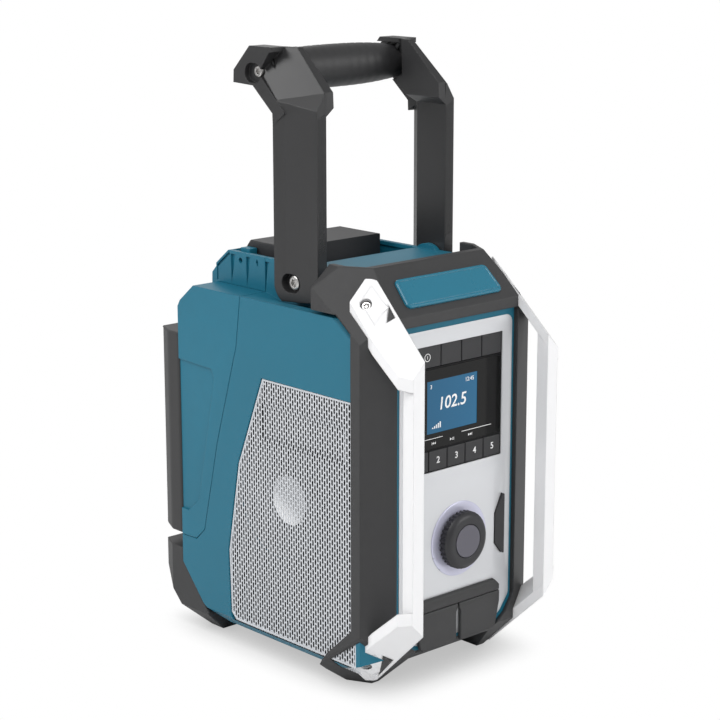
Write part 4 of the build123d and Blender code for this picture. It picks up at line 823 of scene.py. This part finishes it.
class RADIO_OT_display(bpy.types.Operator):
    """Build the black window, the lit display in it, its figures and the marks round it"""
    bl_idname = "radio.display"
    bl_label = "Display"

    def execute(self, context):
        depth = context.scene.radio_sizes.print_depth
        low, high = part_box("display_module")
        x0, x1 = low[0] + SCREEN_BORDER, high[0] - SCREEN_BORDER
        z0, z1 = low[2] + SCREEN_BORDER, high[2] - SCREEN_BORDER
        window = copy_of("display_lens", "window")
        cutter = plate("cutter", (x0, LENS_FRONT - 0.002, z0), (x1, LENS_FRONT + 0.0006, z1))
        only(window)
        cut = window.modifiers.new("screen recess", "BOOLEAN")
        cut.operation = "DIFFERENCE"
        cut.object = cutter
        cut.solver = "EXACT"
        bpy.ops.object.modifier_apply(modifier=cut.name)
        bpy.data.objects.remove(cutter)
        place(window, "radio_body", MATERIALS["window_black"], "lens", "display_lens", smooth=30)
        deep = LENS_FRONT + 0.0003
        screen = plate("screen", (x0, deep, z0), (x1, deep + 0.0003, z1))
        place(screen, "radio_body", MATERIALS["screen_blue"], "screen_blue", smooth=30)
        middle = (x0 + x1) / 2
        row_z = z1 - 0.0042
        figures = [
            lettering("figures", "102.5", middle, (z0 + z1) / 2 + 0.001, deep, 0.0125, depth, 0.12),
            lettering("clock", "12:45", x1 - 0.0075, row_z, deep, 0.0040, depth),
            lettering("preset", "3", x0 + 0.0040, row_z, deep, 0.0040, depth)]
        for step in range(5):
            left, foot = x0 + 0.0052 + step * 0.0018, z0 + 0.0032
            figures.append(plate("bar", (left, deep - depth, foot),
                                 (left + 0.0011, deep, foot + 0.0010 + step * 0.0008)))
        white = MATERIALS["mark_white"]
        place(joined(figures, "display_figures"), "radio_body", white, "panel_silver")
        place(window_marks(depth), "radio_body", white, "panel_silver")
        paint("display_module", MATERIALS["inner_black"])
        return {"FINISHED"}


def window_marks(depth):
    """Thin lines over the preset keys, with plain transport signs between them."""
    near, far = LENS_FRONT - depth, LENS_FRONT
    line_z, sign_z = 0.1778, 0.1746
    reach = 0.0011

    def upright(name, x, half):
        return plate(name, (x - half, near, sign_z - 0.0010), (x + half, far, sign_z + 0.0010))

    marks = [plate("line", (left, near, line_z), (right, far, line_z + 0.00045))
             for left, right in ((-0.0425, -0.0137), (0.0048, 0.0344))]
    for x, turn in ((-0.0218, -1), (0.0129, 1)):
        marks += [arrow(x + shift, sign_z, turn, reach, near, far) for shift in (-0.0009, 0.0009)]
        marks.append(upright("stop", x + turn * 0.0022, 0.0002))
    marks.append(arrow(-0.0058, sign_z, 1, reach, near, far))
    marks += [upright("pause", x, 0.00025) for x in (-0.0038, -0.0028)]
    return joined(marks, "window_marks")


class RADIO_OT_keys(bpy.types.Operator):
    """Round the keys and print their numbers and the power sign"""
    bl_idname = "radio.keys"
    bl_label = "Keys"

    def execute(self, context):
        depth = context.scene.radio_sizes.print_depth
        white = MATERIALS["mark_white"]
        presets = [f"key_preset_{number}" for number in range(1, 6)]
        for name in ["key_power", "key_band", "key_menu", "key_info", *presets,
                     "key_tune_down", "key_tune_up"]:
            key = softened(name, 0.0003, shortest=0.002, segments=2)
            place(key, name, MATERIALS["key_charcoal"], "key_dark", name, smooth=40)
        for number, name in enumerate(presets, 1):
            low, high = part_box(name)
            mark = lettering(f"number_{number}", str(number), (low[0] + high[0]) / 2,
                             (low[2] + high[2]) / 2, KEY_FRONT, 0.0066, depth)
            place(mark, name, white, "panel_silver")
        low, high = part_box("key_power")
        x, z = low[0] + 0.0145, (low[2] + high[2]) / 2
        outer, inner = 0.00285, 0.00235
        ring = turned("power_ring", [(outer, 0.0), (outer, depth), (inner, depth), (inner, 0.0)],
                      (x, KEY_FRONT, z), FORWARD, segments=40)
        edit_all()
        select_where(ring, "FACE", lambda f: len(f.verts) > 8)
        bpy.ops.mesh.bridge_edge_loops()
        stop_editing()
        bar = plate("power_bar", (x - 0.00025, KEY_FRONT - depth, z - 0.0011),
                    (x + 0.00025, KEY_FRONT, z + 0.0011))
        place(joined([ring, bar], "power_sign"), "key_power", white, "panel_silver")
        return {"FINISHED"}


class RADIO_OT_grip(bpy.types.Operator):
    """Turn the soft grip with its fine rings"""
    bl_idname = "radio.grip"
    bl_label = "Grip"

    def execute(self, context):
        low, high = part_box("handle_grip")
        half = (high[0] - low[0]) / 2
        widest = (high[2] - low[2]) / 2
        rings = []
        for step in range(GRIP_RINGS + 1):
            x = -half + 2 * half * step / GRIP_RINGS
            share = abs(x) / half
            barrel = widest - 0.0001 - GRIP_TAPER * share ** 2.6
            groove = GRIP_GROOVE if step % 4 == 2 and 0.08 < share < 0.86 else 0.0
            rings.append((barrel - groove, x + half))
        end = rings[0][0]
        rings = [(end - 0.0006, 0.0), (end, 0.0004), *rings[1:-1],
                 (end, 2 * half - 0.0004), (end - 0.0006, 2 * half)]
        grip = turned("grip_skin", rings, (-half, GRIP.y, GRIP.z), (1.0, 0.0, 0.0))
        place(grip, "handle", MATERIALS["grip_black"], "grip_rubber", "handle_grip", smooth=25)
        return {"FINISHED"}


def guard_screw(side, level):
    """Where a guard's screw head stands and the way it looks; level is 1 above, -1 below."""
    x, y, z = GUARD_STRAP
    face = Vector((side * x, y, GUARD_MIDDLE + level * (z - GUARD_MIDDLE)))
    out = Vector((side * GUARD_FACING[0], GUARD_FACING[1], level * GUARD_FACING[2])).normalized()
    return face - out * GUARD_POCKET, out


class RADIO_OT_screws(bpy.types.Operator):
    """Build the heads of the pivot, grip and guard screws"""
    bl_idname = "radio.screws"
    bl_label = "Screws"

    def execute(self, context):
        for kind, body, at, radius in (("pivot", "radio_body", PIVOT, 0.0055),
                                       ("grip", "handle", GRIP, 0.0042)):
            node = kind + "_screws"
            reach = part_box(node)[1][0] - HEAD_HEIGHT
            heads = [socketed_head((side * reach, at.y, at.z), (side, 0, 0), radius)
                     for side, _ in SIDES]
            place(joined(heads, kind + "_heads"), body, MATERIALS["screw_steel"], "steel", node,
                  smooth=30)
        heads = [socketed_head(*guard_screw(side, level), 0.0036)
                 for side, _ in SIDES for level in (-1, 1)]
        place(joined(heads, "guard_heads"), "radio_body", MATERIALS["screw_steel"], "steel",
              "guard_screws", smooth=30)
        return {"FINISHED"}


class RADIO_OT_handle(bpy.types.Operator):
    """Finish the handle's legs and give their front faces fine slanting ribs"""
    bl_idname = "radio.handle"
    bl_label = "Handle"

    def execute(self, context):
        pitch, low_z, high_z = 0.0017, 0.3020, 0.3985
        inner, outer = 0.0577, 0.0640
        long, tall, slant = 0.0036, 0.00035, math.radians(28)
        for side, tag in SIDES:
            paint("handle_leg_" + tag, MATERIALS["handle_grey"])
            rib = plate("rib", (-long, LEG_FRONT - 0.00025, -tall),
                        (long, LEG_FRONT + 0.0002, tall))
            edit_all()
            bpy.ops.transform.rotate(value=slant, orient_axis="Y",
                                     center_override=(0.0, LEG_FRONT, 0.0))
            bpy.ops.transform.translate(value=(side * (inner + outer) / 2, 0.0, low_z))
            stop_editing()
            repeated(rib, int((high_z - low_z) / pitch), (0.0, 0.0, pitch))
            rib.name = "leg_ribs_" + tag
            place(rib, "handle", MATERIALS["handle_grey"], "handle_grey")
        return {"FINISHED"}


class RADIO_OT_plain_parts(bpy.types.Operator):
    """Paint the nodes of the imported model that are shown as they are"""
    bl_idname = "radio.plain_parts"
    bl_label = "Other parts"

    def execute(self, context):
        finish_of = {
            "key_dark": "key_charcoal", "trim_black": "key_charcoal", "steel": "screw_steel",
            "grille_silver": "grille_paint", "knob_grey": "knob_charcoal",
            "ring_silver": "ring_lilac", "grip_rubber": "grip_black", "bush_white": "guard_white",
            "inner_black": "inner_black", "circuit_green": "inner_black",
            "cone_paper": "inner_black",
        }
        for row in frame["record"]["subparts"]:
            finish = finish_of.get(row["material_slot"])
            if finish and row["node"] != "control_fascia":
                paint(row["node"], MATERIALS[finish])
        return {"FINISHED"}


class RADIO_OT_stage(bpy.types.Operator):
    """Build the pale floor, the soft lamps and the camera"""
    bl_idname = "radio.stage"
    bl_label = "Stage"

    def execute(self, context):
        scene = context.scene
        floor = primitive("floor", "plane", size=12.0, location=(0.0, 0.0, 0.0))
        floor.data.materials.append(floor_material())
        light_world(scene)
        for name, spot, size, power in LAMPS:
            lamp = bpy.data.lights.new(name, "AREA")
            lamp.energy = power
            lamp.size = size
            holder = bpy.data.objects.new(name, lamp)
            holder.location = spot
            aim = Vector(LAMPS_AIM) - Vector(spot)
            holder.rotation_euler = aim.to_track_quat("-Z", "Y").to_euler()
            scene.collection.objects.link(holder)
        add_camera(scene)
        scene.view_settings.view_transform = "Standard"
        return {"FINISHED"}


def split_for_camera(tree, others, camera, output):
    """Gives the camera one shader and all other rays another, on a tree's output node."""
    seen = add_node(tree, "ShaderNodeLightPath")
    both = add_node(tree, "ShaderNodeMixShader")
    tree.links.new(seen.outputs["Is Camera Ray"], both.inputs["Fac"])
    tree.links.new(others, both.inputs[1])
    tree.links.new(camera, both.inputs[2])
    tree.links.new(both.outputs["Shader"], tree.nodes[output].inputs["Surface"])


def floor_material():
    """Pale floor: the camera sees it white, with a painted shadow from ambient occlusion only where
    the object is near.
    """
    material, tree, shader = new_material("floor_pale")
    set_inputs(shader, Base_Color=(0.9, 0.9, 0.9, 1.0), Roughness=0.8)
    # painted shadow: ambient occlusion darkens the white that the camera sees near the object
    painted_shadow = add_node(tree, "ShaderNodeAmbientOcclusion", samples=16, in_Distance=0.05)
    deepen = add_node(tree, "ShaderNodeMapRange", in_From_Min=0.15, in_From_Max=0.75,
                      in_To_Min=0.50, in_To_Max=1.0)
    white = add_node(tree, "ShaderNodeEmission")
    tree.links.new(painted_shadow.outputs["AO"], deepen.inputs["Value"])
    tree.links.new(deepen.outputs["Result"], white.inputs["Strength"])
    split_for_camera(tree, shader.outputs["BSDF"], white.outputs["Emission"], "Material Output")
    return material


def light_world(scene):
    """Soft white surroundings: full white for the camera, softer light on the object."""
    world = bpy.data.worlds.new("studio")
    scene.world = world
    world.use_nodes = True
    tree = world.node_tree
    soft = set_inputs(tree.nodes["Background"], Color=(1.0, 1.0, 1.0, 1.0), Strength=0.42)
    white = add_node(tree, "ShaderNodeBackground", in_Color=(1.0, 1.0, 1.0, 1.0), in_Strength=1.0)
    split_for_camera(tree, soft.outputs["Background"], white.outputs["Background"], "World Output")


def add_camera(scene):
    """The camera, at the radio's left front corner and a little above it."""
    data = bpy.data.cameras.new("camera")
    data.sensor_width = CAMERA_SENSOR
    data.lens = CAMERA_LENS
    camera = bpy.data.objects.new("camera", data)
    camera.location = CAMERA_PLACE
    camera.rotation_euler = (Matrix.Rotation(CAMERA_TURN, 3, "Z")
                             @ Matrix.Rotation(math.pi / 2 - CAMERA_TILT, 3, "X")
                             @ Matrix.Rotation(CAMERA_ROLL, 3, "Z")).to_euler()
    scene.collection.objects.link(camera)
    scene.camera = camera


class RADIO_PT_sidebar(bpy.types.Panel):
    """Lists the radio's building steps"""
    bl_label = "Jobsite radio"
    bl_idname = "RADIO_PT_sidebar"
    bl_space_type = "VIEW_3D"
    bl_region_type = "UI"
    bl_category = "Radio"

    def draw(self, context):
        for step in STEPS:
            self.layout.operator(step.bl_idname)


STEPS = (RADIO_OT_stage, RADIO_OT_plain_parts, RADIO_OT_casing, RADIO_OT_bumpers, RADIO_OT_guards,
         RADIO_OT_panel, RADIO_OT_display, RADIO_OT_keys, RADIO_OT_knob, RADIO_OT_grilles,
         RADIO_OT_handle, RADIO_OT_grip, RADIO_OT_screws)
GROUPS = (RadioColours, RadioSizes)


def register():
    for cls in (*GROUPS, *STEPS, RADIO_PT_sidebar):
        bpy.utils.register_class(cls)
    bpy.types.Scene.radio_colours = PointerProperty(type=RadioColours)
    bpy.types.Scene.radio_sizes = PointerProperty(type=RadioSizes)


def unregister():
    del bpy.types.Scene.radio_sizes
    del bpy.types.Scene.radio_colours
    for cls in reversed((*GROUPS, *STEPS, RADIO_PT_sidebar)):
        bpy.utils.unregister_class(cls)


def main():
    register()
    build_materials(bpy.context.scene.radio_colours)
    for step in STEPS:
        group, action = step.bl_idname.split(".")
        getattr(getattr(bpy.ops, group), action)()


if __name__ == "__main__":
    main()
